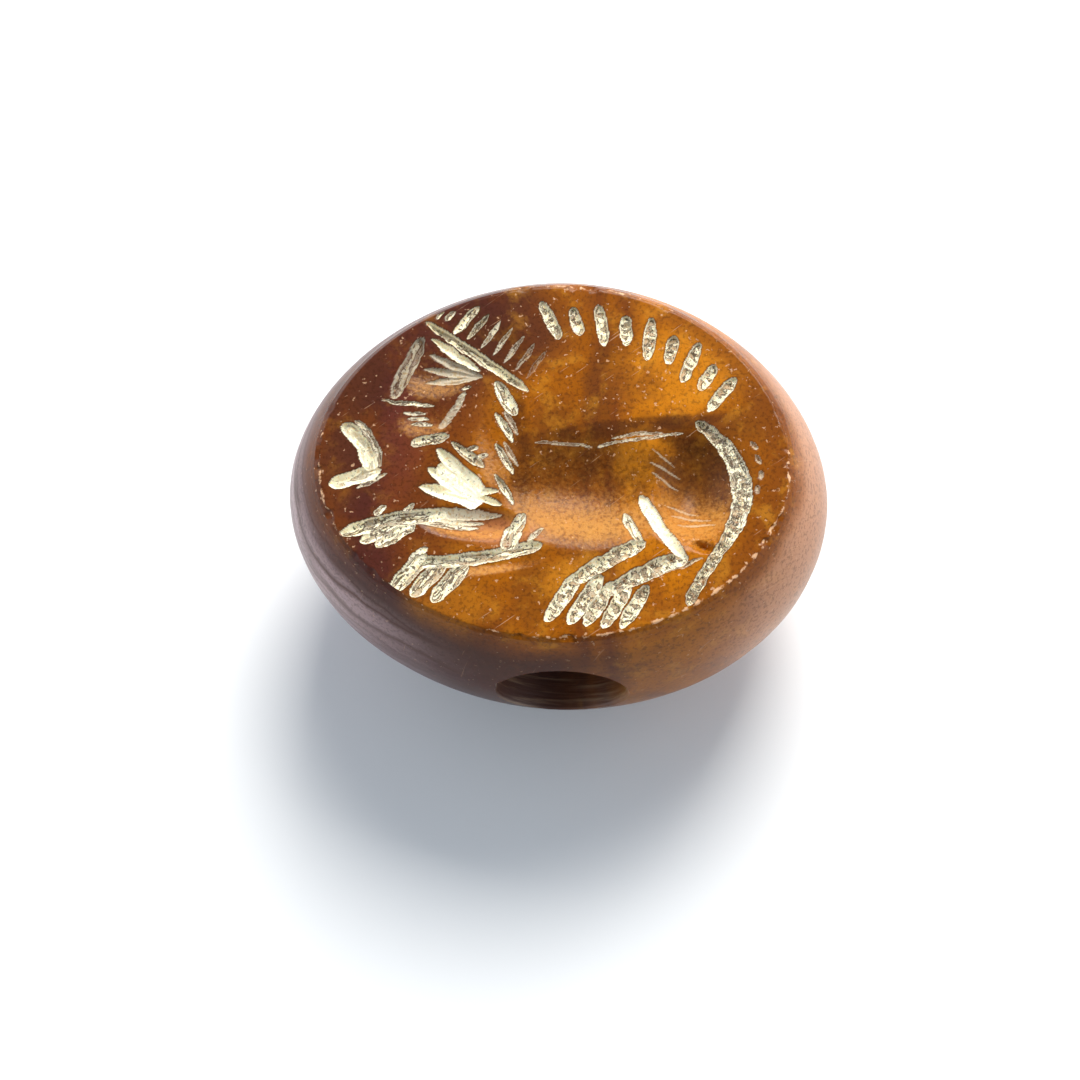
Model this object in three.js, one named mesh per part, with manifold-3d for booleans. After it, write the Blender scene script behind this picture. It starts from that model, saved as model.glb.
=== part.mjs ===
// Bead seal in banded agate: a flattened ellipsoid with one polished face, bored through from side
// to side for a cord. A lion lying down, a crescent and a row of plain strokes are cut into the face.
// Millimetres. X runs along the face, Y across it along the bore, and Z rises out of the face.
// The origin is the middle of the small flat on which the stone rests.

import * as THREE from 'three';
import { mergeVertices } from 'three/addons/utils/BufferGeometryUtils.js';
import Module from 'manifold-3d';

const wasm = await Module();
wasm.setup();

// The stone
const stoneLength = 21.0;
const stoneWidth = 16.5;
const beltHeight = 7.6;
const faceAboveBelt = 4.6;
const faceLength = 17.9;
const restLength = 6.0;
const rimWear = 0.16;

// How square the stone is: 2 is an ellipse, and more is squarer
const planPower = 1.94;
const upperPower = 1.9;
const lowerPower = 2.3;

// How much narrower one end or one side is, as a share
const endTaper = 0.025;
const sideTaper = -0.03;

// The cord's bore, off the middle of the stone as it was drilled
const boreDiameter = 5.0;
const boreAside = 0.5;
const boreAboveBelt = 0.25;
const mouthWear = 0.15;
const mouthWearDepth = 0.5;

// Depths of the carving
const trunkDepth = 0.55;
const rumpDepth = 0.85;
const neckDepth = 0.2;
const shoulderDepth = 0.4;
const headDepth = 0.22;
const legDepth = 0.5;
const toeDepth = 0.42;
const lockDepth = 0.4;
const scratchDepth = 0.2;
const tailDepth = 0.45;
const strokeDepth = 0.3;

// Facets
const stoneSides = 60;
const lowerRings = 10;
const upperRings = 5;
const boreSides = 28;
const wheelSides = 6;
const wheelRings = 4;
const hollowSides = 12;
const hollowRings = 8;
const mergeDistance = 1e-5;

// How blunt the ends of a cut are: 1 is a pointed spindle, and less is blunter
const wheelBluntness = 0.5;
const hollowBluntness = 0.85;

// Keeps the middle of a cut just clear of the face's own plane
const cutLift = 0.012;

const faceLevel = beltHeight + faceAboveBelt;

// The carving is placed in hundredths of the face's length, from the middle of the face
const share = faceLength / 100;

// How far a curved side that starts upright has come in at a height, as a share of its full width
function inset(height, reach, power) {
  return Math.pow(1 - Math.pow(height / reach, power), 1 / power);
}

// The reach at which such a side has come in to a given share at a height
function reachFor(height, widthShare, power) {
  return height / Math.pow(1 - Math.pow(widthShare, power), 1 / power);
}

// Rings up the stone's side, each with its width as a share of the belt's and its level
function stoneProfile() {
  const below = reachFor(beltHeight, restLength / stoneLength, lowerPower);
  const above = reachFor(faceAboveBelt, faceLength / stoneLength, upperPower);
  const lowerTurn = Math.asin(beltHeight / below);
  const upperTurn = Math.asin(faceAboveBelt / above);
  const rings = [];
  for (let i = lowerRings; i > 0; i -= 1) {
    const drop = below * Math.sin(lowerTurn * i / lowerRings);
    rings.push({ width: inset(drop, below, lowerPower), level: beltHeight - drop });
  }
  for (let i = 0; i < upperRings; i += 1) {
    const rise = above * Math.sin(upperTurn * i / upperRings);
    rings.push({ width: inset(rise, above, upperPower), level: beltHeight + rise });
  }
  const underRim = faceAboveBelt - rimWear;
  rings.push({ width: inset(underRim, above, upperPower), level: beltHeight + underRim });
  rings.push({ width: (faceLength - rimWear) / stoneLength, level: faceLevel });
  return rings;
}

// The stone before it is bored and carved
function stoneBody() {
  const rings = stoneProfile();
  const lastRing = rings.length - 1;
  const body = new THREE.CylinderGeometry(1, 1, 1, stoneSides, lastRing);
  const place = body.attributes.position;
  for (let i = 0; i < place.count; i += 1) {
    const ring = rings[Math.round((place.getY(i) + 0.5) * lastRing)];
    const along = place.getX(i);
    const across = -place.getZ(i);
    const power = Math.abs(along) ** planPower + Math.abs(across) ** planPower;
    const squaring = power > 0 ? Math.pow(power, -1 / planPower) : 0;
    const planX = along * squaring;
    const planY = across * squaring;
    const x = stoneLength / 2 * ring.width * planX * (1 + sideTaper * planY);
    const y = stoneWidth / 2 * ring.width * planY * (1 + endTaper * planX);
    place.setXYZ(i, x, y, ring.level);
  }
  return body;
}

// The bore, and the wear that widens both of its mouths
function boreCuts() {
  const radius = boreDiameter / 2;
  const pastBothSides = stoneWidth * 1.1;
  const cuts = [new THREE.CylinderGeometry(radius, radius, pastBothSides, boreSides)];
  for (const side of [-1, 1]) {
    const outer = side > 0 ? radius + 2 * mouthWear : radius;
    const inner = side > 0 ? radius : radius + 2 * mouthWear;
    const mouth = new THREE.CylinderGeometry(outer, inner, 2 * mouthWearDepth, boreSides);
    mouth.translate(0, side * stoneWidth / 2, 0);
    cuts.push(mouth);
  }
  return cuts.map((cut) => cut.translate(boreAside, 0, beltHeight + boreAboveBelt));
}

// A spindle lying along X, of unit reach, with a flat facet down and its ends made blunter
function spindle(sides, rings, bluntness) {
  const shape = new THREE.SphereGeometry(1, sides, rings);
  const place = shape.attributes.position;
  for (let i = 0; i < place.count; i += 1) {
    const radius = Math.hypot(place.getX(i), place.getZ(i));
    const fuller = radius > mergeDistance ? Math.pow(radius, bluntness - 1) : 0;
    place.setXYZ(i, place.getX(i) * fuller, place.getY(i), place.getZ(i) * fuller);
  }
  shape.rotateY(Math.PI / sides);
  shape.rotateZ(-Math.PI / 2);
  return shape;
}

// A groove cut into the face along a line, deepest in the middle
function grooveCut(shape, from, to, width, depth) {
  const start = new THREE.Vector2(...from).multiplyScalar(share);
  const end = new THREE.Vector2(...to).multiplyScalar(share);
  shape.scale(start.distanceTo(end) / 2, width * share / 2, depth);
  shape.rotateZ(Math.atan2(end.y - start.y, end.x - start.x));
  shape.translate((start.x + end.x) / 2, (start.y + end.y) / 2, faceLevel + cutLift);
  return shape;
}

// One cut by a turning wheel
function wheelCut(from, to, width, depth) {
  return grooveCut(spindle(wheelSides, wheelRings, wheelBluntness), from, to, width, depth);
}

// A smooth round-bottomed hollow, with its middle, its length, its width and its turn in degrees
function hollow(middle, length, width, turn, depth) {
  const reachX = length / 2 * Math.cos(THREE.MathUtils.degToRad(turn));
  const reachY = length / 2 * Math.sin(THREE.MathUtils.degToRad(turn));
  const from = [middle[0] - reachX, middle[1] - reachY];
  const to = [middle[0] + reachX, middle[1] + reachY];
  return grooveCut(spindle(hollowSides, hollowRings, hollowBluntness), from, to, width, depth);
}

// Like cuts side by side, each a step on from the last
function cutRow(first, step, count, reach, width, depth) {
  const cuts = [];
  for (let i = 0; i < count; i += 1) {
    const from = [first[0] + step[0] * i, first[1] + step[1] * i];
    const to = [from[0] + reach[0], from[1] + reach[1]];
    cuts.push(wheelCut(from, to, width, depth));
  }
  return cuts;
}

// Cuts that spread from one point, with the first one's turn and the step between turns in degrees
function cutFan(root, firstTurn, turnStep, count, length, width, depth) {
  const cuts = [];
  for (let i = 0; i < count; i += 1) {
    const turn = THREE.MathUtils.degToRad(firstTurn + turnStep * i);
    const tip = [root[0] + length * Math.cos(turn), root[1] + length * Math.sin(turn)];
    cuts.push(wheelCut(root, tip, width, depth));
  }
  return cuts;
}

// A curved groove: cuts that overlap end to end along a smooth line through a few points. It is as
// wide in the middle of its course as at its ends, unless it swells to more
function curvedCut(points, count, width, depth, swell = 0, swellPlace = 0.5) {
  const line = new THREE.CatmullRomCurve3(points.map(([x, y]) => new THREE.Vector3(x, y, 0)));
  const overlap = 0.5 / count;
  const swellReach = 0.22;
  const cuts = [];
  for (let i = 0; i < count; i += 1) {
    const from = line.getPointAt(Math.max(0, i / count - overlap));
    const to = line.getPointAt(Math.min(1, (i + 1) / count + overlap));
    const offSwell = ((i + 0.5) / count - swellPlace) / swellReach;
    const fullWidth = width + swell * Math.exp(-(offSwell ** 2));
    cuts.push(wheelCut([from.x, from.y], [to.x, to.y], fullWidth, depth));
  }
  return cuts;
}

// The trunk, the rump's round bowl, the neck and the shoulder
function bodyHollows() {
  return [
    hollow([8, -6.4], 37, 24, 0, trunkDepth),
    hollow([29.8, -5.6], 26, 21.5, 86, rumpDepth),
    hollow([-12.5, 4], 27, 10, 96, neckDepth),
    hollow([-16.5, -15.2], 25, 7.5, -2, shoulderDepth),
  ];
}

// The head in profile, facing left: brow and muzzle, a fan of cheek cuts, the mouth and the jaw
function headCuts() {
  const cheekRoot = [-16, 17.8];
  return [
    hollow([-25.5, 18.2], 17, 13, 12, headDepth),
    hollow([-27.5, 8.2], 14, 10, 15, headDepth / 2),
    wheelCut([-29.2, 26.4], [-34.8, 12.4], 3, headDepth),
    ...cutFan(cheekRoot, 147, 16, 4, 13.5, 1.7, lockDepth),
    wheelCut([-37, 11.8], [-25.8, 11], 0.9, scratchDepth),
    ...cutRow([-32.2, 9.2], [0.9, -1.2], 3, [4.6, 0], 0.8, scratchDepth),
    wheelCut([-29.8, 2.7], [-22, 4.5], 2, lockDepth),
    ...curvedCut([[-19.4, 14.3], [-21.2, 10.6], [-24.4, 5.8]], 3, 1.7, scratchDepth),
  ];
}

// The long ear and the mane's locks behind it, then the locks down the neck
function maneCuts() {
  return [
    hollow([-12.5, 24.6], 17, 12.5, -32, headDepth),
    wheelCut([-28.9, 30.1], [-6, 15], 2, legDepth),
    ...cutRow([-26.4, 30.6], [2, -0.4], 2, [1.7, 2.4], 1, scratchDepth),
    ...cutRow([-22.9, 27.6], [2.6, -1.65], 7, [3.9, 5.9], 1.5, lockDepth),
    ...cutRow([-13, 16.9], [0.35, -6.9], 4, [4.7, -7.4], 1.9, lockDepth),
  ];
}

// The tuft of hair on the chest
function chestCuts() {
  const tuftRoot = [-14.2, -9.9];
  return [
    ...cutFan(tuftRoot, 132, 18.5, 3, 14.5, 3.6, legDepth),
    hollow([-17.8, -8.4], 9, 6.5, -38, legDepth),
    wheelCut([-21, 3.2], [-14, -2.3], 1.6, lockDepth),
  ];
}

// Two forelegs stretched forward and two hind legs folded under, each with its toes and claws
function legCuts() {
  return [
    wheelCut([-17.5, -13.2], [-33, -13.7], 2.8, legDepth),
    wheelCut([-28, -13.1], [-44, -18], 2.9, legDepth),
    ...cutRow([-33, -14.8], [3, -0.5], 2, [-7.8, -5], 2.6, toeDepth),
    ...cutRow([-37, -13.6], [6, 0.7], 2, [2.2, 1.9], 1, scratchDepth),

    wheelCut([-6.6, -13], [-9.7, -20.2], 3.8, legDepth),
    wheelCut([-4, -17.8], [-1.8, -15.6], 1.4, scratchDepth),
    ...curvedCut([[-2.4, -18.7], [-17.7, -23.2], [-27.6, -23.8]], 4, 2.8, legDepth),
    ...cutRow([-25.6, -21.8], [4.3, -0.9], 3, [-6.9, -8.5], 3, toeDepth),
    wheelCut([-29, -23.4], [-25.4, -20.4], 1.2, scratchDepth),
    wheelCut([-34.3, -27.6], [-32, -30.6], 0.9, scratchDepth),

    wheelCut([18.6, -7.4], [28.7, -21.2], 2.9, legDepth),
    wheelCut([15.2, -11.4], [19.2, -18.2], 2.1, lockDepth),
    ...curvedCut([[20.2, -17.6], [12, -21.6], [5.4, -26.8]], 3, 2.8, legDepth),
    ...cutRow([7.4, -24], [4.8, -0.2], 2, [-7.3, -11.6], 2.8, toeDepth),
    ...curvedCut([[29, -20.6], [20.2, -23.6], [12.8, -29.2]], 3, 2.9, legDepth),
    ...cutRow([14.6, -26.2], [3.7, -0.2], 3, [-5.8, -10], 2.6, toeDepth),
  ];
}

// The tail, which hangs from the rump in a bow and is widest a third of the way down
function tailCuts() {
  const points = [[29.6, 9], [35.2, 4.8], [39.6, -2.6], [39.9, -9], [36, -18.4], [32.4, -23.6], [29.4, -31]];
  return curvedCut(points, 10, 3, tailDepth, 3, 0.35);
}

// The crescent before the lion's head, open to the left
function crescentCuts() {
  return [
    ...curvedCut([[-45, 6.2], [-40, 2], [-38.4, -4.2]], 4, 2.9, legDepth),
    wheelCut([-36.4, -3.6], [-47, -7.4], 3, legDepth),
  ];
}

// A row of plain slanted strokes, long and short in turn, on an arc inside the rim above the back
function strokeRow() {
  const count = 9;
  const arcLength = 40.3;
  const arcWidth = 31.2;
  const firstTurn = THREE.MathUtils.degToRad(93);
  const lastTurn = THREE.MathUtils.degToRad(30);
  const slant = THREE.MathUtils.degToRad(24);
  const cuts = [];
  for (let i = 0; i < count; i += 1) {
    const turn = firstTurn + (lastTurn - firstTurn) * i / (count - 1);
    const reach = i % 2 === 0 ? 4.8 : 3.3;
    const middle = [arcLength * Math.cos(turn), arcWidth * Math.sin(turn)];
    const way = [Math.cos(turn + slant) * reach, Math.sin(turn + slant) * reach];
    const from = [middle[0] - way[0], middle[1] - way[1]];
    const to = [middle[0] + way[0], middle[1] + way[1]];
    cuts.push(wheelCut(from, to, 2.3, strokeDepth));
  }
  return cuts;
}

// A closed geometry as a solid that can be cut
function toSolid(geometry) {
  geometry.deleteAttribute('normal');
  geometry.deleteAttribute('uv');
  const merged = mergeVertices(geometry, mergeDistance);
  return new wasm.Manifold(new wasm.Mesh({
    numProp: 3,
    vertProperties: new Float32Array(merged.attributes.position.array),
    triVerts: new Uint32Array(merged.index.array),
  }));
}

function toGeometry(solid) {
  const mesh = solid.getMesh();
  const geometry = new THREE.BufferGeometry();
  geometry.setAttribute('position', new THREE.BufferAttribute(mesh.vertProperties, 3));
  geometry.setIndex(new THREE.BufferAttribute(mesh.triVerts, 1));
  geometry.computeVertexNormals();
  return geometry;
}

const cuts = [
  ...boreCuts(),
  ...bodyHollows(),
  ...headCuts(),
  ...maneCuts(),
  ...chestCuts(),
  ...legCuts(),
  ...tailCuts(),
  ...crescentCuts(),
  ...strokeRow(),
];

const carved = cuts.reduce((stone, cut) => stone.subtract(toSolid(cut)), toSolid(stoneBody()));

const agate = new THREE.MeshStandardMaterial({ color: 0x9a5a26, roughness: 0.28, metalness: 0 });

const sealStone = new THREE.Mesh(toGeometry(carved), agate);
sealStone.name = 'seal_stone';

const beadSeal = new THREE.Group();
beadSeal.add(sealStone);

export default beadSeal;
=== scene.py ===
"""Looks of a bead seal: banded brown agate, one polished face with a lion cut into it, bored for a cord.

The stone's mesh is in metres, in the frame's own axes. The carving is noted as an engraver would
note it: places and widths in hundredths of the face's length, depths in millimetres.
"""

import logging
import math
from dataclasses import dataclass, field
from enum import Enum

import bpy
import numpy as np
from mathutils import Matrix, Vector


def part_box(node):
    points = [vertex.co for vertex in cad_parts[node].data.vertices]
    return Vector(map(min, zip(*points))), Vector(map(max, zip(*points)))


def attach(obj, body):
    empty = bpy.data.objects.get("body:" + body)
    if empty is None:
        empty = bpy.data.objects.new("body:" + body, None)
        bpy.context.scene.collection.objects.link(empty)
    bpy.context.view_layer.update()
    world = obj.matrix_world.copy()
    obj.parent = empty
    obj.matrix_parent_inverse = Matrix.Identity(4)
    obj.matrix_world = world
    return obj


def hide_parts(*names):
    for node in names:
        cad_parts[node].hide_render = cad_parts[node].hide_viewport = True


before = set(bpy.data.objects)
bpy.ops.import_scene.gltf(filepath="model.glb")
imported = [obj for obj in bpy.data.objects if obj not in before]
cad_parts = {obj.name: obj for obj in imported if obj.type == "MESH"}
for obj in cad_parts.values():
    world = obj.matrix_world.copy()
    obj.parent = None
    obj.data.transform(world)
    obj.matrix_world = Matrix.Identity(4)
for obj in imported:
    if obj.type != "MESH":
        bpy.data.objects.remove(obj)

NODE = "seal_stone"
BODY = "root"
MM = 0.001
FLAT = 0.001 * MM
WHEEL_BLUNTNESS = 3.6
POINT_BLUNTNESS = 1.7

log = logging.getLogger("bead_seal")

Array = np.ndarray
Spot = tuple[float, float]
Point = tuple[float, float, float]
Colour = tuple[float, float, float, float]
Piece = bpy.types.Object
Tree = bpy.types.NodeTree
Node = bpy.types.Node
Socket = bpy.types.NodeSocket
Finish = bpy.types.Material


def smoothstep(low: float, high: float, value: Array) -> Array:
    """A smooth rise from 0 at low to 1 at high.

    Args:
        low: Where the rise starts.
        high: Where the rise ends.
        value: What is measured against them.

    Returns:
        The rise at each value.
    """
    t = np.clip((value - low) / (high - low), 0.0, 1.0)
    return t * t * (3.0 - 2.0 * t)


def lattice_noise(place: Array, cell: float, seed: int) -> Array:
    """Smooth noise from 0 to 1 over a seeded lattice of random values.

    Args:
        place: Points, one row each, of any number of coordinates.
        cell: The lattice's pitch, in the points' own unit.
        seed: Which lattice of random values is used.

    Returns:
        One value for each point.
    """
    side = 64
    values = np.random.default_rng(seed).random((side,) * place.shape[1])
    spot = place / cell
    base = np.floor(spot).astype(int)
    part = spot - base
    part = part * part * (3.0 - 2.0 * part)
    total = np.zeros(len(place))
    for corner in np.ndindex(*(2,) * place.shape[1]):
        weight = np.prod(np.where(corner, part, 1.0 - part), axis=1)
        index = tuple(((base + corner) % side).T)
        total += weight * values[index]
    return total


def layered_noise(place: Array, cell: float, seed: int, layers: int = 3) -> Array:
    """Lattice noise with finer and weaker layers added.

    Args:
        place: Points, one row each.
        cell: The coarsest layer's pitch.
        seed: The first layer's seed.
        layers: How many layers are added, each twice as fine and half as strong.

    Returns:
        One value from 0 to 1 for each point.
    """
    total = np.zeros(len(place))
    weight = 1.0
    whole = 0.0
    for layer in range(layers):
        total += weight * lattice_noise(place, cell / 2**layer, seed + layer)
        whole += weight
        weight *= 0.5
    return total / whole


class Tool(Enum):
    """What a mark was cut with, which settles its floor and its finish."""

    WHEEL = "wheel"
    CROSS_WHEEL = "cross_wheel"
    POINT = "point"
    POLISHED_BOWL = "polished_bowl"


@dataclass(frozen=True)
class Cut:
    """One mark in the face, along a line.

    The line's ends and the width are in hundredths of the face's length, the depth in millimetres.
    Frost is how pale its floor was left and dirt_and_shade how dirty, from 0 to 1. In a polished bowl
    they are how dull and pale the low side was left, partly painted light, and how strong the
    painted shade on the high side is.
    """

    start: Spot
    end: Spot
    width: float
    depth: float
    tool: Tool = Tool.WHEEL
    frost: float = 1.0
    dirt_and_shade: float = 1.0

    @property
    def half_length(self) -> float:
        """Half the line's length."""
        return math.dist(self.start, self.end) / 2

    def local(self, place: Array) -> tuple[Array, Array]:
        """Place along and across the line.

        Args:
            place: Points on the face, in hundredths of its length.

        Returns:
            The share of the half length along the line, and of the half width across it.
        """
        start = np.array(self.start)
        way = np.array(self.end) - start
        length = float(np.hypot(*way))
        way /= length
        off = place - (start + way * length / 2)
        along = off @ way / (length / 2)
        across = (off[:, 1] * way[0] - off[:, 0] * way[1]) / (self.width / 2)
        return along, across

    def near(self, place: Array) -> Array:
        """Which points are close enough to matter, as a mask."""
        margin = 0.7 * self.width + 1.0
        low = np.minimum(self.start, self.end) - margin
        high = np.maximum(self.start, self.end) + margin
        return np.all((place > low) & (place < high), axis=1)

    def covers(self, place: Array, margin: float) -> Array:
        """Which points lie in the mark or within a margin of it, as a mask."""
        along, across = self.local(place)
        long = self.half_length
        half = self.width / 2
        return (np.abs(along) * long < long + margin) & (np.abs(across) * half < half + margin)

    def off_middle(self, along: Array, across: Array) -> Array:
        """How far out of a bowl's middle a point lies, with its edge at 1."""
        return np.abs(along) ** 2.3 + across**2

    def taper(self, along: Array, bluntness: float) -> Array:
        """The share of the mark's width that is left at a point along it."""
        return np.clip(1.0 - np.abs(along) ** bluntness, 0.0, 1.0) ** 0.6

    def depth_at(self, along: Array, across: Array) -> Array:
        """The mark's depth.

        Args:
            along: Share of the half length along the line.
            across: Share of the half width across it.

        Returns:
            The depth in millimetres, 0 outside the mark.
        """
        if self.tool is Tool.POLISHED_BOWL:
            off = np.clip(self.off_middle(along, across), 0.0, 1.0)
            return self.depth * (1.0 - off) ** 2.0
        ends = self.taper(along, POINT_BLUNTNESS if self.tool is Tool.POINT else WHEEL_BLUNTNESS)
        sides = np.clip(1.0 - (np.abs(across) / np.maximum(ends, 0.02)) ** 3.2, 0.0, 1.0)
        return self.depth * ends**0.6 * sides**0.6


@dataclass
class Relief:
    """What the marks do to each point of the face.

    Bowls and grooves are depths in millimetres. Frost, core, dull_and_painted_light and painted_shade
    run from 0 to 1; the last two are a bowl's pale low side, partly painted light, and its painted
    shade up high. Grain is a place on a groove's floor, and the ridges' pitch and run are lengths there,
    all in millimetres.
    """

    bowls: Array
    grooves: Array
    frost: Array
    core: Array
    dull_and_painted_light: Array
    painted_shade: Array
    grain: Array
    groove_in_bowl: float = 0.55
    ridge_pitch: float = 0.1
    ridge_run: float = 0.6

    @classmethod
    def flat(cls, count: int) -> "Relief":
        """The face before it is carved."""
        return cls(*(np.zeros(count) for _ in range(6)), np.zeros((count, 3)))

    def depth(self) -> Array:
        """The whole depth in millimetres, with a groove shallower where it lies in a bowl."""
        return np.maximum(self.bowls + self.groove_in_bowl * self.grooves, self.grooves)

    def sink_bowl(self, mark: Cut, near: Array, place: Array, pushed: Array) -> None:
        """Sinks a polished hollow: dull, pale low side, partly painted light; painted shade on the high
        side.

        Args:
            mark: The hollow.
            near: Which points it may reach.
            place: Those points, for its form.
            pushed: The same points, pushed about, for its finish.
        """
        along, across = mark.local(place)
        depth = mark.depth_at(along, across)
        self.bowls[near] = (self.bowls[near] ** 4 + depth**4) ** 0.25
        reach = max(mark.width, abs(mark.start[1] - mark.end[1])) / 2
        off = (pushed[:, 1] - (mark.start[1] + mark.end[1]) / 2) / reach
        inside = smoothstep(1.15, 0.35, mark.off_middle(along, across))
        # The low side faces the lamp: its pale sandy colour is partly a dull finish and partly painted
        # light.
        low_side = smoothstep(0.2, -0.55, off)
        self.dull_and_painted_light[near] = np.maximum(self.dull_and_painted_light[near], inside * (0.2 + 0.8 * low_side) * mark.frost)
        # Painted shade on the high side, which faces away from the lamp; a bowl with no pale side gets it
        # all over.
        high_side = smoothstep(-0.5, 0.45, off) if mark.frost else 1.0
        self.painted_shade[near] = np.maximum(self.painted_shade[near], inside * high_side * mark.dirt_and_shade)

    def sink_groove(self, mark: Cut, number: int, near: Array, pushed: Array, share: float) -> None:
        """Sinks a sharp mark with a ridged, frosted floor.

        Args:
            mark: The mark.
            number: The mark's number, which seeds its ridges.
            near: Which points it may reach.
            pushed: Those points, pushed about.
            share: Millimetres to a hundredth of the face's length.
        """
        along, across = mark.local(pushed)
        depth = mark.depth_at(along, across)
        run = along * (mark.half_length * share)
        side = across * mark.width / 2 * share
        ripple, other = (run * 0.8, side * 2.4) if mark.tool is Tool.CROSS_WHEEL else (side, run)
        cells = np.stack([ripple / self.ridge_pitch, other / self.ridge_run], 1)
        inner = depth / mark.depth * mark.dirt_and_shade
        depth = depth * (0.72 + 0.5 * lattice_noise(cells, 1.0, number))
        deeper = depth > self.grooves[near]
        winner = near[deeper]
        self.grooves[winner] = depth[deeper]
        self.grain[winner] = np.stack([ripple, other, np.full(len(near), number * 1.7)], 1)[deeper]
        self.core[winner] = inner[deeper]
        mask = smoothstep(0.03, 0.14, depth / mark.depth) * mark.frost
        self.frost[near] = np.maximum(self.frost[near], mask)


@dataclass
class Carving:
    """The lion, the crescent and the row of strokes, as marks in the face.

    The depths and the reach of the painted shade line round the marks are in millimetres, the pushes
    that make the edges ragged and the margin of fine mesh in hundredths of the face's length.
    """

    trunk_depth: float = 0.55
    rump_depth: float = 0.85
    shoulder_depth: float = 0.4
    neck_depth: float = 0.2
    head_depth: float = 0.22
    leg_depth: float = 0.27
    toe_depth: float = 0.23
    lock_depth: float = 0.2
    scratch_depth: float = 0.08
    tail_depth: float = 0.26
    stroke_depth: float = 0.22
    shade_line_reach: float = 0.075
    push: float = 0.62
    push_pitch: float = 1.9
    fine_margin: float = 0.5
    cuts: list[Cut] = field(default_factory=list)

    def bowl(self, middle: Spot, length: float, width: float, turn: float, depth: float,
             dull_and_painted_light: float = 0.0, painted_shade: float = 0.0) -> None:
        """A smooth hollow, polished after it was cut.

        Args:
            middle: The hollow's middle.
            length: Its length.
            width: Its width.
            turn: The turn of its length from X, in degrees.
            depth: Its depth in millimetres.
            dull_and_painted_light: How dull and pale its lower side was left, from 0 to 1; the
                paleness is partly painted light.
            painted_shade: How dark the painted shade on its upper side is, from 0 to 1.
        """
        reach = (length / 2 * math.cos(math.radians(turn)), length / 2 * math.sin(math.radians(turn)))
        start = (middle[0] - reach[0], middle[1] - reach[1])
        end = (middle[0] + reach[0], middle[1] + reach[1])
        self.cuts.append(Cut(start, end, width, depth, Tool.POLISHED_BOWL, dull_and_painted_light, painted_shade))

    def cut(self, start: Spot, end: Spot, width: float, depth: float, tool: Tool = Tool.WHEEL,
            frost: float = 1.0, dirt_and_shade: float = 1.0) -> None:
        """One mark along a line.

        Args:
            start: One end.
            end: The other end.
            width: The mark's width.
            depth: Its depth in millimetres.
            tool: What it was cut with.
            frost: How frosted it was left, from 0 to 1.
            dirt_and_shade: How much dirt its floor holds, from 0 to 1.
        """
        self.cuts.append(Cut(start, end, width, depth, tool, frost, dirt_and_shade))

    def row(self, first: Spot, step: Spot, count: int, reach: Spot, width: float, depth: float,
            frost: float = 1.0, fade: float = 0.0, tool: Tool = Tool.WHEEL) -> None:
        """Like marks side by side.

        Args:
            first: Where the first one starts.
            step: From one start to the next.
            count: How many there are.
            reach: From a mark's start to its end.
            width: Their width.
            depth: Their depth in millimetres.
            frost: How frosted the first was left.
            fade: How much less frosted each next one is.
            tool: What they were cut with.
        """
        for i in range(count):
            start = (first[0] + step[0] * i, first[1] + step[1] * i)
            end = (start[0] + reach[0], start[1] + reach[1])
            self.cut(start, end, width, depth, tool, frost - fade * i)

    def fan(self, root: Spot, first_turn: float, turn_step: float, lengths: list[float],
            width: float, depth: float, frost: float = 1.0, dirt_and_shade: float = 1.0) -> None:
        """Marks that spread from one point.

        Args:
            root: The point.
            first_turn: The first mark's turn from X, in degrees.
            turn_step: The turn from one to the next.
            lengths: The length of each.
            width: Their width.
            depth: Their depth in millimetres.
            frost: How frosted they were left.
            dirt_and_shade: How much dirt they hold.
        """
        for i, length in enumerate(lengths):
            turn = math.radians(first_turn + turn_step * i)
            tip = (root[0] + length * math.cos(turn), root[1] + length * math.sin(turn))
            self.cut(root, tip, width, depth, Tool.POINT, frost, dirt_and_shade)

    def curve(self, points: list[Spot], count: int, width: float, depth: float, swell: float = 0.0,
              swell_place: float = 0.5, tool: Tool = Tool.WHEEL, frost: float = 1.0,
              dirt_and_shade: float = 1.0) -> None:
        """A curved groove of short marks that overlap end to end.

        Args:
            points: Points that the groove's line passes.
            count: How many marks it takes.
            width: Its width.
            depth: Its depth in millimetres.
            swell: How much wider it is where it swells.
            swell_place: Where along it that is, from 0 to 1.
            tool: What it was cut with.
            frost: How frosted it was left.
            dirt_and_shade: How much dirt it holds.
        """
        line = smooth_line(points, 200)
        swell_reach = 0.22
        overlap = 0.5 / count
        for i in range(count):
            start = point_at(line, max(0.0, i / count - overlap))
            end = point_at(line, min(1.0, (i + 1) / count + overlap))
            off = ((i + 0.5) / count - swell_place) / swell_reach
            self.cut(start, end, width + swell * math.exp(-off * off), depth, tool, frost, dirt_and_shade)

    def body(self) -> None:
        """The trunk, the rump's bowl, the neck and the shoulder, and painted shade by neck and back."""
        self.bowl((8, -6.6), 41, 28, 0, self.trunk_depth * 1.05, 0.85, 0.8)
        self.bowl((29.6, -5.6), 28.5, 24, 86, self.rump_depth, 0.7, 1.0)
        self.bowl((-12.5, 4), 27, 10, 96, self.neck_depth * 0.5, 0.5)
        # A very shallow bowl that carries a strip of painted shade beside the neck locks.
        self.bowl((-7.6, 3), 32, 6, 97, 0.04, 0.0, 0.9)
        self.bowl((-15.5, -14.6), 27, 8.5, -2, self.shoulder_depth, 0.75)
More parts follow.
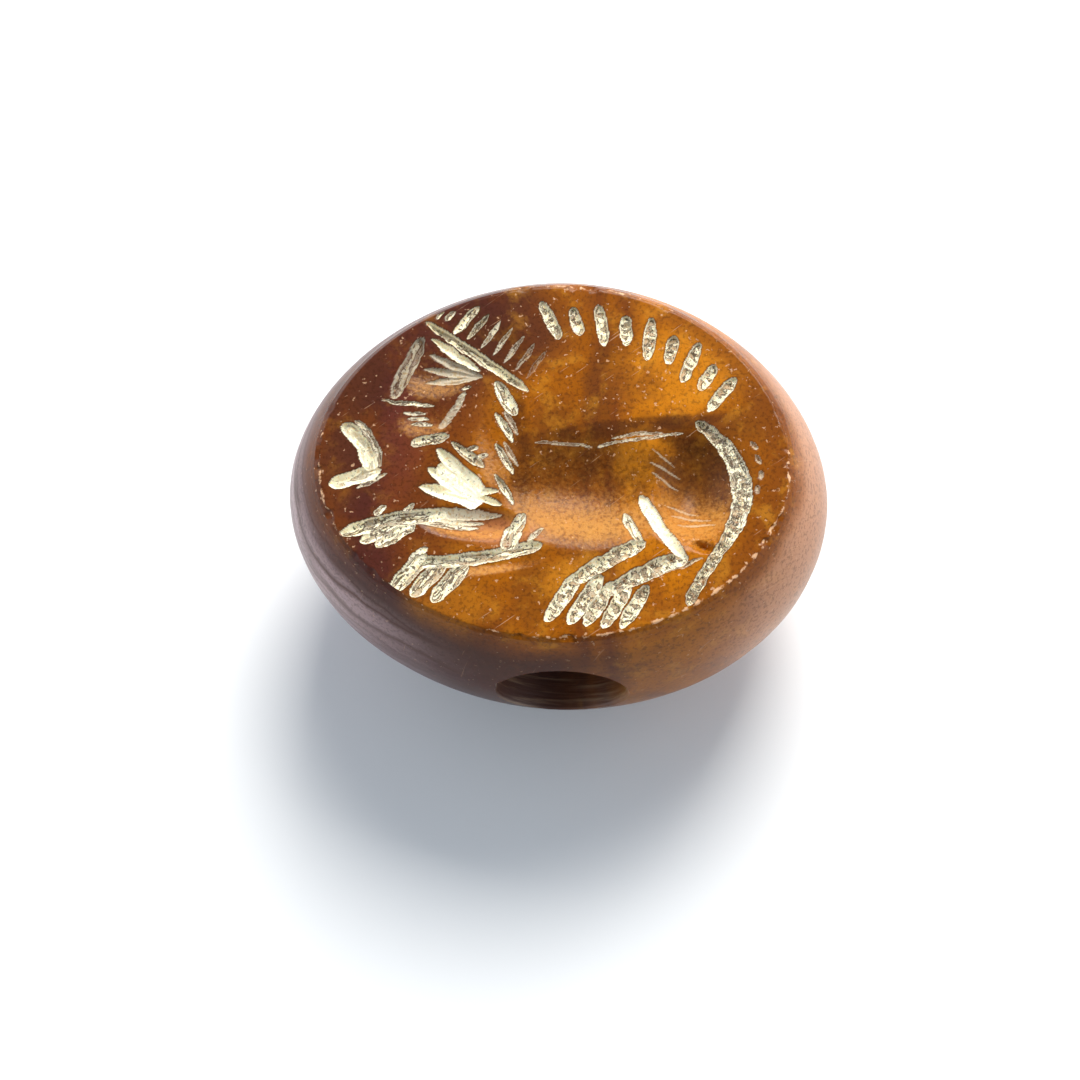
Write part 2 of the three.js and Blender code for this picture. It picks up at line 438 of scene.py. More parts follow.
        # A bowl too shallow to matter that carries the painted shadow along the lion's back.
        self.bowl((15.5, 7.4), 44, 4.6, 8, 0.002, 0.0, 1.0)
        self.curve([(-4, 3.4), (2, 3.9), (8, 3.2)], 3, 0.5, self.scratch_depth * 0.3, frost=0.3)
        self.curve([(9, 3.2), (18, 5), (27, 6.6)], 5, 0.55, self.scratch_depth * 0.3, frost=0.5)
        self.curve([(12, 4.8), (17, 6.2), (23, 6.4)], 3, 0.5, self.scratch_depth * 0.3, frost=0.35)
        for start, end in (((20.6, 2.8), (25.8, -0.4)), ((20, 0.2), (27, -2.4)), ((20.8, -2), (26.2, -5)),
                           ((23.6, -8.8), (31, -10.4)), ((24.8, -10.8), (33.4, -11.8)),
                           ((26.5, -13.2), (34.6, -12.8))):
            self.cut(start, end, 0.45, self.scratch_depth * 0.25, Tool.POINT, 0.2, 0.3)

    def head(self) -> None:
        """The head in profile, facing left: brow, a fan of cheek cuts, mouth and jaw."""
        self.bowl((-25.5, 18.2), 17, 13, 12, self.head_depth * 0.5, 0.6)
        self.bowl((-27.5, 8.2), 14, 10, 15, self.head_depth * 0.3, 0.6)
        self.cut((-29.2, 26.4), (-34.8, 12.4), 3.2, self.head_depth, frost=0.32, dirt_and_shade=0.9)
        self.cut((-27.3, 26.2), (-16.6, 19.1), 1.9, self.lock_depth, Tool.POINT, dirt_and_shade=0.4)
        self.fan((-16, 17.8), 158, 15, [12.5, 12.5, 12], 1.8, self.lock_depth, 0.32, 0.5)
        self.cut((-37, 11.8), (-25.8, 11), 0.9, self.scratch_depth, Tool.POINT, 0.7)
        self.row((-32.2, 9.2), (0.9, -1.2), 3, (4.6, 0), 0.8, self.scratch_depth, 0.6, tool=Tool.POINT)
        self.cut((-30.5, 2.3), (-22.4, 4.4), 2.2, self.lock_depth)
        self.curve([(-19.4, 14.3), (-21.2, 10.6), (-24.4, 5.8)], 3, 1.6, self.scratch_depth,
                   frost=0.25, dirt_and_shade=0.4)
        self.row((-20.2, 14.8), (-0.75, -1.6), 6, (1.9, 0.7), 0.7, self.scratch_depth, 0.6, 0.05,
                 Tool.POINT)

    def mane(self) -> None:
        """The long ear, the mane's locks behind it, the locks down the neck and painted shade on the
        mane.
        """
        # A very shallow bowl that carries painted shade over the mane.
        self.bowl((-12.5, 24.6), 17, 12.5, -32, self.head_depth * 0.06, 0.0, 0.6)
        self.cut((-28.9, 30.1), (-6, 15), 2.1, self.leg_depth, dirt_and_shade=0.75)
        self.row((-26.4, 30.6), (2, -0.4), 2, (1.7, 2.4), 1, self.scratch_depth, 0.7)
        self.cut((-22.6, 27.4), (-17.4, 34), 2, self.lock_depth, Tool.POINT, 0.85)
        self.cut((-19.6, 26.3), (-15.4, 32), 1.4, self.lock_depth, Tool.POINT, 0.8)
        self.row((-16.5, 24.4), (2.5, -1.6), 5, (3.9, 6.1), 1.1, self.scratch_depth, 0.5, 0.09,
                 Tool.POINT)
        self.cut((-13, 16.9), (-8.3, 9.3), 2.6, self.lock_depth)
        self.row((-12.7, 10.0), (0.35, -6.9), 3, (4.1, -6.6), 1.4, self.lock_depth, 0.9, tool=Tool.POINT)
        self.row((-10.9, 10.4), (0.35, -6.9), 2, (3.1, -5.2), 1.1, self.scratch_depth, 0.35,
                 tool=Tool.POINT)

    def chest(self) -> None:
        """The tuft on the lion's chest."""
        self.fan((-14.2, -9.9), 132, 18.5, [15.5, 14, 14], 3.3, self.leg_depth, 1.0, 0.3)
        self.cut((-24, -2.2), (-14.6, -9.6), 6.4, self.leg_depth, dirt_and_shade=0.3)
        self.cut((-21.5, -7.2), (-14.4, -10.2), 4.6, self.leg_depth, dirt_and_shade=0.3)
        self.fan((-18, -7.6), -22, 22, [8.2, 6.8], 1.5, self.lock_depth, 0.8, 0.4)
        self.cut((-21.6, 3), (-14.6, -2.4), 1.9, self.lock_depth, Tool.POINT, 0.8)
        self.row((-18.4, 1.2), (2.2, -1.6), 2, (2.2, 0.9), 1.1, self.scratch_depth, 0.6)

    def legs(self) -> None:
        """Two forelegs stretched forward and two hind legs folded under, with toes and claws."""
        self.cut((-10.2, -12.6), (-30, -12.7), 2.1, self.lock_depth, Tool.POINT, 0.55, 0.35)
        self.row((-14, -14.3), (-1, -1.1), 2, (-12, 0.2), 1.2, self.scratch_depth, 0.6, tool=Tool.POINT)
        self.cut((-22, -12.8), (-36, -15), 3.1, self.leg_depth, dirt_and_shade=0.8)
        self.cut((-31, -13.6), (-44, -18), 2.9, self.leg_depth)
        self.row((-31.5, -14.6), (3.2, -0.6), 2, (-8.2, -5.2), 2.8, self.toe_depth)
        self.row((-37, -13.6), (6, 0.7), 2, (2.2, 1.9), 1.2, self.scratch_depth)

        self.bowl((-10, -23.4), 24, 4.6, 12, 0.1, 0.8)
        self.cut((-5.6, -12.2), (-9.7, -20.4), 2.6, self.leg_depth)
        self.cut((-7.4, -14.8), (-8.8, -20.4), 3.6, self.leg_depth, dirt_and_shade=0.8)
        self.cut((-4.6, -18.4), (-1.4, -15.2), 1.2, self.scratch_depth, Tool.POINT, 0.5)
        self.curve([(-1.6, -18.9), (-17.7, -23.2), (-27.6, -23.8)], 4, 2.7, self.leg_depth, dirt_and_shade=0.75)
        self.row((-25.6, -21.8), (4.3, -0.9), 3, (-6.9, -8.5), 3.4, self.toe_depth, 0.95)
        self.cut((-29, -23.4), (-25.4, -20.4), 1.4, self.scratch_depth)
        self.cut((-34.3, -27.6), (-32, -30.6), 0.9, self.scratch_depth)

        self.bowl((32, -18), 7, 3, -25, 0.4)
        self.curve([(18.4, -7), (22.4, -14.6), (28.7, -21.4)], 2, 2.6, self.leg_depth, dirt_and_shade=0.4)
        self.cut((15.2, -11.2), (19.4, -18.2), 1.9, self.lock_depth, frost=0.85, dirt_and_shade=0.7)
        self.curve([(20.2, -17.6), (12, -21.6), (5.4, -26.8)], 3, 3.1, self.leg_depth,
                   tool=Tool.CROSS_WHEEL)
        self.row((6.8, -24.6), (4.6, -0.4), 2, (-6.7, -11), 3.1, self.toe_depth, tool=Tool.CROSS_WHEEL)
        self.curve([(29, -20.6), (20.2, -23.6), (12.8, -29.2)], 3, 3.2, self.leg_depth,
                   tool=Tool.CROSS_WHEEL, frost=0.85)
        self.row((13.6, -26.6), (3.7, -0.2), 3, (-5.4, -9.6), 2.8, self.toe_depth, tool=Tool.CROSS_WHEEL)
        self.row((21, -25.3), (2.4, 0.9), 3, (6, 2.6), 0.9, self.scratch_depth, 0.4, tool=Tool.POINT)

    def tail(self) -> None:
        """The tail, which hangs from the rump in a bow and is widest a third of the way down."""
        points = [(29.8, 9.2), (35.4, 5.2), (39.8, -2.2), (40.2, -9), (36.4, -18.2), (32.6, -23.6),
                  (29.4, -31)]
        self.curve(points, 12, 2.2, self.tail_depth, 2.0, 0.4, Tool.CROSS_WHEEL, 0.92, 1.4)
        self.row((41.4, 5.4), (1.1, -3.1), 2, (1.2, -2), 1.1, self.scratch_depth, 0.3, tool=Tool.POINT)
        self.row((43.7, -1.2), (-0.6, -3.2), 2, (0.1, -2), 1.1, self.scratch_depth, 0.3, tool=Tool.POINT)

    def crescent(self) -> None:
        """The crescent before the lion's head, open to the left."""
        self.curve([(-45, 6.2), (-40, 2), (-38.4, -4.2)], 4, 3, self.leg_depth, dirt_and_shade=0.55)
        self.curve([(-42.4, 7), (-37.8, 3), (-36.6, -3)], 4, 1.2, self.scratch_depth, frost=0.5)
        self.cut((-36.4, -3.6), (-47, -7.4), 3.2, self.leg_depth, dirt_and_shade=0.6)
        self.cut((-35, -4.4), (-41, -8), 1.2, self.scratch_depth, Tool.POINT, 0.5)

    def strokes(self) -> None:
        """A row of plain slanted strokes, long and short in turn, on an arc over the lion's back."""
        count = 9
        arc = (40.3, 31.2)
        first_turn = math.radians(93)
        last_turn = math.radians(30)
        slant = math.radians(24)
        for i in range(count):
            turn = first_turn + (last_turn - first_turn) * i / (count - 1)
            reach = 4.8 if i % 2 == 0 else 3.3
            middle = (arc[0] * math.cos(turn), arc[1] * math.sin(turn))
            way = (math.cos(turn + slant) * reach, math.sin(turn + slant) * reach)
            self.cut((middle[0] - way[0], middle[1] - way[1]), (middle[0] + way[0], middle[1] + way[1]),
                     2.4, self.stroke_depth, Tool.CROSS_WHEEL)

    def engrave(self) -> None:
        """Lays out every mark."""
        for part in (self.body, self.head, self.mane, self.chest, self.legs, self.tail,
                     self.crescent, self.strokes):
            part()

    def ragged(self, place: Array) -> Array:
        """Points on the face, pushed about a little, so that marks laid out there get uneven edges."""
        pushes = [self.push * layered_noise(place, self.push_pitch, seed, 3) for seed in (71, 83)]
        return place + np.stack(pushes, 1) - self.push / 2

    def outline(self, place: Array, share: float) -> Array:
        """A dark line of painted shade round each sharp mark.

        Args:
            place: Points on the face, in hundredths of its length.
            share: Millimetres to a hundredth of the face's length.

        Returns:
            The line's strength from 0 to 1.
        """
        place = self.ragged(place)
        line = np.zeros(len(place))
        for mark in self.cuts:
            if mark.tool is Tool.POLISHED_BOWL:
                continue
            near = np.flatnonzero(mark.near(place))
            along, across = mark.local(place[near])
            past_end = np.maximum(np.abs(along) - 1.0, 0.0) * mark.half_length
            ends = mark.taper(along, WHEEL_BLUNTNESS)
            past_side = np.maximum(np.abs(across) - ends, 0.0) * mark.width / 2
            gap = np.hypot(past_end, past_side) * share
            strength = min(1.0, 1.6 * mark.frost**1.5)
            line[near] = np.maximum(line[near], smoothstep(self.shade_line_reach, 0.0, gap) * strength)
        return line

    def fine_work(self, place: Array) -> Array:
        """Which points lie close to a sharp mark, as a mask."""
        found = np.zeros(len(place), bool)
        for mark in self.cuts:
            if mark.tool is not Tool.POLISHED_BOWL:
                found |= mark.covers(place, self.fine_margin)
        return found

    def relief(self, place: Array, share: float) -> Relief:
        """What the marks do to the face.

        Args:
            place: Points on the face, in hundredths of its length.
            share: Millimetres to a hundredth of the face's length.

        Returns:
            Everything that the marks settle.
        """
        pushed = self.ragged(place)
        relief = Relief.flat(len(place))
        for number, mark in enumerate(self.cuts):
            near = np.flatnonzero(mark.near(pushed))
            if mark.tool is Tool.POLISHED_BOWL:
                relief.sink_bowl(mark, near, place[near], pushed[near])
            else:
                relief.sink_groove(mark, number, near, pushed[near], share)
        return relief


def smooth_line(points: list[Spot], steps: int) -> Array:
    """A smooth line through a few points.

    Args:
        points: The points it passes.
        steps: How many points the line gets.

    Returns:
        The line's points, one row each.
    """
    known = np.array(points, float)
    padded = np.concatenate([[2 * known[0] - known[1]], known, [2 * known[-1] - known[-2]]])
    line = []
    for t in np.linspace(0, len(known) - 1 - 1e-9, steps):
        i = int(t)
        u = t - i
        a, b, c, d = padded[i:i + 4]
        line.append(0.5 * (2 * b + (c - a) * u + (2 * a - 5 * b + 4 * c - d) * u * u
                           + (3 * b - a - 3 * c + d) * u**3))
    return np.array(line)


def point_at(line: Array, share: float) -> Spot:
    """The point a given share of the way along a line."""
    run = np.concatenate([[0.0], np.cumsum(np.hypot(*np.diff(line, axis=0).T))])
    where = share * run[-1]
    return float(np.interp(where, run, line[:, 0])), float(np.interp(where, run, line[:, 1]))


@dataclass
class StoneForm:
    """The ground and polished stone before it is carved, in metres."""

    length: float
    height: float
    width: float = 16.5 * MM
    belt: float = 7.6 * MM
    face_length: float = 17.9 * MM
    rest_length: float = 6.0 * MM
    edge_round: float = 0.11 * MM
    plan_power: float = 1.94
    upper_power: float = 1.9
    lower_power: float = 2.3
    end_taper: float = 0.025
    side_taper: float = -0.03

    def reach(self, height: float, share: float, power: float) -> float:
        """The reach at which a curved side has come in to a given share at a height."""
        return height / (1 - share**power) ** (1 / power)

    def inset(self, level: Array) -> Array:
        """How far the side has come in at a level, as a share of the belt's width.

        Args:
            level: Heights above the rest flat.

        Returns:
            The share at each level.
        """
        above = self.reach(self.height - self.belt, self.face_length / self.length, self.upper_power)
        below = self.reach(self.belt, self.rest_length / self.length, self.lower_power)
        off = np.asarray(level, float) - self.belt
        upper = (1 - np.clip(off / above, 0, 1) ** self.upper_power) ** (1 / self.upper_power)
        lower = (1 - np.clip(-off / below, 0, 1) ** self.lower_power) ** (1 / self.lower_power)
        return np.where(off > 0, upper, lower)

    def spread(self, disc: Array, share: Array) -> Array:
        """Lays points of a round disc out on the stone's plan.

        Args:
            disc: Points in a disc of radius 1.
            share: The plan's size at each, as a share of the belt's.

        Returns:
            X and Y for each point.
        """
        radius = np.hypot(*disc.T)
        unit = disc / np.maximum(radius, 1e-9)[:, None]
        power = self.plan_power
        powers = np.abs(unit[:, 0]) ** power + np.abs(unit[:, 1]) ** power
        stretch = np.maximum(powers, 1e-9) ** (-1 / power)
        plan = unit * (stretch * radius)[:, None]
        x = self.length / 2 * share * plan[:, 0] * (1 + self.side_taper * plan[:, 1])
        y = self.width / 2 * share * plan[:, 1] * (1 + self.end_taper * plan[:, 0])
        return np.stack([x, y], 1)

    def side_at(self, x: Array, z: Array) -> Array:
        """How far the stone reaches from the middle, across, at a place in its side view."""
        share = self.inset(z)
        along = np.clip(np.abs(x) / (self.length / 2 * share), 0, 0.999)
        return self.width / 2 * share * (1 - along**self.plan_power) ** (1 / self.plan_power)


@dataclass
class Bore:
    """The hole for the cord, with worn mouths, in metres."""

    radius: float = 2.5 * MM
    aside: float = 0.5 * MM
    level: float = 7.85 * MM
    waist: float = 0.12 * MM
    lip: float = 0.09 * MM
    clearance: float = 12 * MM
    chip_turn: float = 158.0
    chip_width: float = 0.12
    around: int = 120
    rows: int = 46

    def cutter(self, form: StoneForm) -> Piece:
        """The solid that is taken out of the stone: a tube whose ends open like trumpets.

        Args:
            form: The stone that it is taken out of.

        Returns:
            The cutter, with its faces in the second material slot.
        """
        cutter = new_grid(self.around, self.rows)
        place = read_places(cutter)
        turn = (place[:, 0] + 1) * math.pi
        row = place[:, 1]
        ring = np.stack([np.cos(turn), np.sin(turn)], 1)
        wear = self.lip * (0.55 + 1.5 * layered_noise(ring + 5, 0.5, 31))
        off_chip = np.angle(np.exp(1j * (turn - math.radians(self.chip_turn))))
        chip = np.exp(-((off_chip / self.chip_width) ** 2)) * (row < 0)
        wear = wear + 3.0 * self.lip * chip
        x0 = self.aside + self.radius * ring[:, 0]
        z0 = self.level + self.radius * ring[:, 1]
        surface = form.side_at(x0, z0)
        inner = surface - 1.2 * wear
        step = np.abs(row)
        body = np.clip(step / 0.5, 0, 1)
        mouth = np.clip((step - 0.5) / 0.5, 0, 1)
        flare = mouth**2 * 2.4 * wear
        y = np.sign(row) * np.where(step > 0.99, self.clearance, body * inner + mouth * 2.6 * wear)
        narrow = self.waist * (1 - (body * inner / surface) ** 2)
        radius = self.radius - narrow * (1 - mouth) + flare
        write_places(cutter, np.stack([self.aside + radius * ring[:, 0], y,
                                       self.level + radius * ring[:, 1]], 1))
        close_solid(cutter)
        cutter.data.polygons.foreach_set("material_index", np.ones(len(cutter.data.polygons), np.int32))
        return cutter


def read_places(piece: Piece) -> Array:
    """A mesh's vertices, one row each."""
    place = np.empty(len(piece.data.vertices) * 3)
    piece.data.vertices.foreach_get("co", place)
    return place.reshape(-1, 3)


def write_places(piece: Piece, place: Array) -> None:
    """Moves a mesh's vertices to new places, one row each."""
    piece.data.vertices.foreach_set("co", place.ravel())
    piece.data.update()


def new_grid(columns: int, rows: int) -> Piece:
    """A flat square grid from -1 to 1 each way, alone selected."""
    bpy.ops.object.select_all(action="DESELECT")
    bpy.ops.mesh.primitive_grid_add(x_subdivisions=columns, y_subdivisions=rows, size=2)
    return bpy.context.object


def make_active(*pieces: Piece) -> None:
    """Selects these pieces alone and makes the first one active."""
    bpy.ops.object.select_all(action="DESELECT")
    for piece in pieces:
        piece.select_set(True)
    bpy.context.view_layer.objects.active = pieces[0]


def close_solid(piece: Piece) -> None:
    """Merges a rolled-up sheet at its seam, fills its open ends and turns its faces out.

    Args:
        piece: The mesh to close.
    """
    seam = 0.002 * MM
    make_active(piece)
    bpy.ops.object.mode_set(mode="EDIT")
    bpy.ops.mesh.select_all(action="SELECT")
    bpy.ops.mesh.remove_doubles(threshold=seam)
    bpy.ops.mesh.select_all(action="DESELECT")
    bpy.ops.mesh.select_mode(type="EDGE")
    bpy.ops.mesh.select_non_manifold(extend=False, use_wire=False, use_multi_face=False,
                                     use_non_contiguous=False, use_verts=False)
    bpy.ops.mesh.edge_face_add()
    bpy.ops.mesh.select_all(action="SELECT")
    bpy.ops.mesh.normals_make_consistent(inside=False)
    bpy.ops.object.mode_set(mode="OBJECT")


@dataclass
class Sheet:
    """A node tree with short ways to add nodes and join them."""

    tree: Tree

    def node(self, kind: str, inputs: dict[str | int, object] | None = None, **settings: object) -> Node:
        """Adds a node.

        Args:
            kind: Blender's name of the node's type.
            inputs: What goes into its sockets: another node's output, or a plain value.
            settings: The node's own properties.

        Returns:
            The node.
        """
        made = self.tree.nodes.new(kind)
        for name, value in settings.items():
            setattr(made, name, value)
        for name, value in (inputs or {}).items():
            socket = made.inputs[name]
            if isinstance(value, Socket):
                self.tree.links.new(value, socket)
            else:
                socket.default_value = value
        return made

    def math(self, operation: str, *values: object) -> Socket:
        """One sum of arithmetic, as its output socket."""
        return self.node("ShaderNodeMath", dict(enumerate(values)), operation=operation).outputs[0]

    def times(self, first: object, second: object) -> Socket:
        """Two values multiplied."""
        return self.math("MULTIPLY", first, second)

    def plus(self, first: object, second: object) -> Socket:
        """Two values added."""
        return self.math("ADD", first, second)

    def minus(self, first: object, second: object) -> Socket:
        """The first value less the second."""
        return self.math("SUBTRACT", first, second)

    def most(self, first: object, second: object) -> Socket:
        """The higher of two values."""
        return self.math("MAXIMUM", first, second)

    def least(self, first: object, second: object) -> Socket:
        """The lower of two values."""
        return self.math("MINIMUM", first, second)

    def vector(self, operation: str, place: object, other: object) -> Socket:
        """One sum of arithmetic on places, as its output socket."""
        return self.node("ShaderNodeVectorMath", {0: place, 1: other}, operation=operation).outputs[0]

    def scaled(self, place: object, share: float) -> Socket:
        """A place times one number."""
        return self.node("ShaderNodeVectorMath", {0: place, 3: share}, operation="SCALE").outputs[0]

    def length(self, place: object) -> Socket:
        """How far a place is from the origin."""
        return self.node("ShaderNodeVectorMath", {0: place}, operation="LENGTH").outputs["Value"]

    def noted(self, name: str, output: str = "Fac") -> Socket:
        """A value that the mesh carries for each vertex."""
        return self.node("ShaderNodeAttribute", attribute_name=name).outputs[output]

    def join(self, output: Socket, socket: Socket) -> None:
        """Links an output to an input."""
        self.tree.links.new(output, socket)

    def mix(self, share: object, first: object, second: object) -> Socket:
        """Two colours mixed, as the output socket."""
        return self.node("ShaderNodeMix", {0: share, 6: first, 7: second}, data_type="RGBA").outputs[2]

    def noise(self, place: object, scale: float, detail: float = 2.0, roughness: float = 0.5) -> Socket:
        """Noise from 0 to 1 over a place, as its output socket."""
        made = self.node("ShaderNodeTexNoise", {"Vector": place, "Scale": scale, "Detail": detail,
                                                "Roughness": roughness})
        return made.outputs["Fac"]

    def ramp(self, value: object, stops: list[tuple[float, Colour]]) -> Socket:
        """A run of colours over a value, as its output socket."""
        made = self.node("ShaderNodeValToRGB", {0: value})
        band = made.color_ramp
        while len(band.elements) < len(stops):
            band.elements.new(0.5)
        for element, (spot, colour) in zip(band.elements, stops):
            element.position = spot
            element.color = colour
        return made.outputs[0]

    def rise(self, value: object, low: float, high: float) -> Socket:
        """A value spread from 0 at low to 1 at high, held at both ends."""
        made = self.node("ShaderNodeMapRange", {0: value, 1: low, 2: high, 3: 0.0, 4: 1.0},
                         interpolation_type="SMOOTHSTEP")
        return made.outputs[0]


def rgb(red: float, green: float, blue: float) -> Colour:
    """An opaque colour of linear light."""
    return red, green, blue, 1.0


def new_group(name: str, takes: dict[str, str], gives: dict[str, str]) -> tuple[Tree, Sheet, Node, Node]:
    """An empty node group with named sockets.

    Args:
        name: The group's name.
        takes: Each input's name and Blender's name of its kind.
        gives: Each output's name and kind.

    Returns:
        The group, a sheet to fill it by, its input node and its output node.
    """
    group = bpy.data.node_groups.new(name, "ShaderNodeTree")
    for label, kind in takes.items():
        group.interface.new_socket(label, in_out="INPUT", socket_type=kind)
    for label, kind in gives.items():
        group.interface.new_socket(label, in_out="OUTPUT", socket_type=kind)
    sheet = Sheet(group)
    return group, sheet, sheet.node("NodeGroupInput"), sheet.node("NodeGroupOutput")


def new_material(name: str) -> tuple[Finish, Sheet]:
    """An empty material and a sheet to fill it by."""
    made = bpy.data.materials.new(name)
    made.use_nodes = True
    made.node_tree.nodes.clear()
    return made, Sheet(made.node_tree)


@dataclass(frozen=True)
class Patch:
    """A cloudy patch of another colour, from the face downward. Most are the stone's own; some over
    the lion's hollows are painted shade and painted light.

    The middle, the reach along X and Y and the level are in millimetres, the strength is from 0 to 1.
    """

    middle: Spot
    reach: Spot
    strength: float
    colour: Colour
    level: float = 12.0
    flatness: float = 0.22

    def lay(self, sheet: Sheet, place: Socket, under: Socket) -> Socket:
        """Lays the patch over a colour.

        Args:
            sheet: The node tree that it is added to.
            place: The place in millimetres.
            under: The colour under it.

        Returns:
            The colour with the patch over it.
        """
        off = sheet.vector("SUBTRACT", place, (*self.middle, self.level))
        share = sheet.vector("MULTIPLY", off, (1 / self.reach[0], 1 / self.reach[1], self.flatness))
        cover = sheet.rise(sheet.length(share), 1.0, 0.42)
        return sheet.mix(sheet.times(cover, self.strength), under, self.colour)


@dataclass(frozen=True)
class AgateBands:
    """The stone's colours: amber with soft brown streaks, curved dark bands at its left end, and
    painted shade and light on some hollows and on the sides.

    Places and reaches are in millimetres, and the scales of its noises in cells to a millimetre.
    """

    amber: Colour = rgb(0.40, 0.125, 0.004)
    deep_amber: Colour = rgb(0.25, 0.07, 0.003)
    brown: Colour = rgb(0.15, 0.038, 0.006)
    plum: Colour = rgb(0.07, 0.018, 0.012)
    rose: Colour = rgb(0.49, 0.245, 0.14)
    mauve: Colour = rgb(0.40, 0.275, 0.28)
    gold: Colour = rgb(0.62, 0.26, 0.02)
    umber: Colour = rgb(0.02, 0.006, 0.002)
    dust: Colour = rgb(0.09, 0.03, 0.012)
    drift: float = 2.2
    drift_scale: float = 0.22
    cloud_scale: float = 0.55
    gold_scale: float = 0.9
    fleck_scale: float = 7.0
    strata_stretch: Point = (0.06, 0.06, 0.5)
    shell_middle: Point = (3.0, -1.0, 9.0)
    shell_stretch: Point = (1.0, 1.0, 0.35)
    shell_reach: float = 16.0
    face_reach: Spot = (8.95, 7.05)
    patches: tuple[Patch, ...] = (
        Patch((-4.6, 5.0), (4.6, 4.6), 0.85, rgb(0.07, 0.018, 0.012)),
        # Plum carried over the mane's hollow: partly the stone's band, partly painted shade.
        Patch((-2.0, 5.4), (2.9, 2.9), 0.8, rgb(0.06, 0.016, 0.010)),
        Patch((-8.0, 2.6), (1.8, 4.4), 0.8, rgb(0.06, 0.018, 0.011)),
        Patch((-8.1, -1.2), (1.5, 2.2), 0.65, rgb(0.08, 0.024, 0.012)),
        Patch((-4.9, -2.2), (1.5, 1.7), 0.5, rgb(0.10, 0.026, 0.010)),
        Patch((-5.9, 0.2), (1.1, 4.6), 0.5, rgb(0.13, 0.03, 0.018)),
        Patch((1.5, 2.2), (0.9, 4.6), 0.6, rgb(0.11, 0.032, 0.006)),
        Patch((-0.8, -5.2), (0.9, 2.4), 0.5, rgb(0.12, 0.035, 0.006)),
        # Painted shade in the right half of the rump's hollow.
        Patch((6.1, -0.4), (2.2, 2.4), 0.7, rgb(0.10, 0.03, 0.005)),
        Patch((4.6, 3.6), (3.6, 1.9), 0.65, rgb(0.52, 0.18, 0.008)),
        # Painted shade at the top of the trunk's hollow.
        Patch((-0.2, 0.7), (1.7, 2.1), 0.62, rgb(0.10, 0.028, 0.005)),
        # Painted shade along the back line and the top of the rump's hollow.
        Patch((5.3, 1.5), (3.0, 0.9), 0.7, rgb(0.09, 0.025, 0.004)),
        Patch((8.0, 1.9), (1.6, 1.3), 0.4, rgb(0.16, 0.05, 0.006)),
        Patch((-2.4, -6.9), (1.4, 0.9), 0.5, rgb(0.13, 0.035, 0.005)),
        # Painted light on the left slope of the rump's hollow.
        Patch((3.4, 0.3), (1.4, 1.6), 0.6, rgb(0.55, 0.20, 0.010)),
        Patch((-3.9, -5.9), (2.2, 1.6), 0.35, rgb(0.50, 0.18, 0.008)),
        Patch((0.9, -4.4), (1.6, 1.1), 0.55, rgb(0.55, 0.21, 0.015)),
        # Painted light, rose, on the shoulder's hollow.
        Patch((-2.3, -2.8), (2.3, 0.9), 0.5, rgb(0.50, 0.20, 0.10)),
    )

    def shells(self, sheet: Sheet, place: Socket) -> Socket:
        """The dark bands of the left end, curved round a point under the face.

        Args:
            sheet: The node tree that they are added to.
            place: The place in millimetres.

        Returns:
            Their colour.
        """
        off = sheet.vector("SUBTRACT", place, self.shell_middle)
        apart = sheet.length(sheet.vector("MULTIPLY", off, self.shell_stretch))
        return sheet.ramp(sheet.math("DIVIDE", apart, self.shell_reach), [
            (0.40, self.deep_amber), (0.48, self.brown), (0.535, self.brown), (0.60, self.plum),
            (0.655, self.plum), (0.70, self.brown), (0.76, self.brown), (0.84, self.plum)])

    def leftward(self, sheet: Sheet, x: Socket) -> Socket:
        """How much a place belongs to the left end, from 0 to 1."""
        return sheet.rise(sheet.times(x, -1.0), 0.4, 4.2)

    def streaks(self, sheet: Sheet, x: Socket) -> Socket:
        """Amber with brown streaks, along the stone from its left end."""
        return sheet.ramp(sheet.rise(x, -8.0, 10.5), [
            (0.0, self.amber), (0.46, self.deep_amber), (0.51, self.brown), (0.545, self.deep_amber),
            (0.585, self.brown), (0.65, self.amber), (0.82, self.amber), (0.93, self.deep_amber)])

    def clouds(self, sheet: Sheet, in_mm: Socket, warped: Socket, colour: Socket) -> Socket:
        """A brown ring within the rim's right half, and brown and gold clouds.

        Args:
            sheet: The node tree that they are added to.
            in_mm: The place in millimetres.
            warped: The same place, pushed about.
            colour: The colour under them.

        Returns:
            The colour with the clouds in it.
        """
        x, _, z = sheet.node("ShaderNodeSeparateXYZ", {0: warped}).outputs
        share = sheet.vector("MULTIPLY", in_mm, (1 / self.face_reach[0], 1 / self.face_reach[1], 0.0))
        ring = sheet.times(sheet.rise(sheet.length(share), 0.84, 0.95), sheet.rise(x, 1.5, 5.0))
        ring = sheet.times(ring, sheet.rise(z, 11.3, 12.0))
        colour = sheet.mix(sheet.times(ring, 0.55), colour, self.brown)
        cloud = sheet.noise(in_mm, self.cloud_scale, 5.0, 0.62)
        colour = sheet.mix(sheet.times(sheet.rise(cloud, 0.47, 0.7), 0.62), colour, self.brown)
        lit = sheet.noise(warped, self.gold_scale, 4.0, 0.6)
        lit_share = sheet.minus(0.7, sheet.times(self.leftward(sheet, x), 0.45))
        golden = sheet.mix(0.5, colour, self.gold)
        return sheet.mix(sheet.times(sheet.rise(lit, 0.5, 0.72), lit_share), colour, golden)

    def sides(self, sheet: Sheet, place: Socket, colour: Socket) -> Socket:
        """The sides' colours: painted shade at the front, rose at the right, partly painted glow, and
        flat bands at the left, whose mauve is partly painted reflection.

        Args:
            sheet: The node tree that they are added to.
            place: The place in millimetres.
            colour: The colour under them.

        Returns:
            The colour with theirs in it.
        """
        x, y, z = sheet.node("ShaderNodeSeparateXYZ", {0: place}).outputs
        below_rim = sheet.rise(z, 12.0, 10.9)
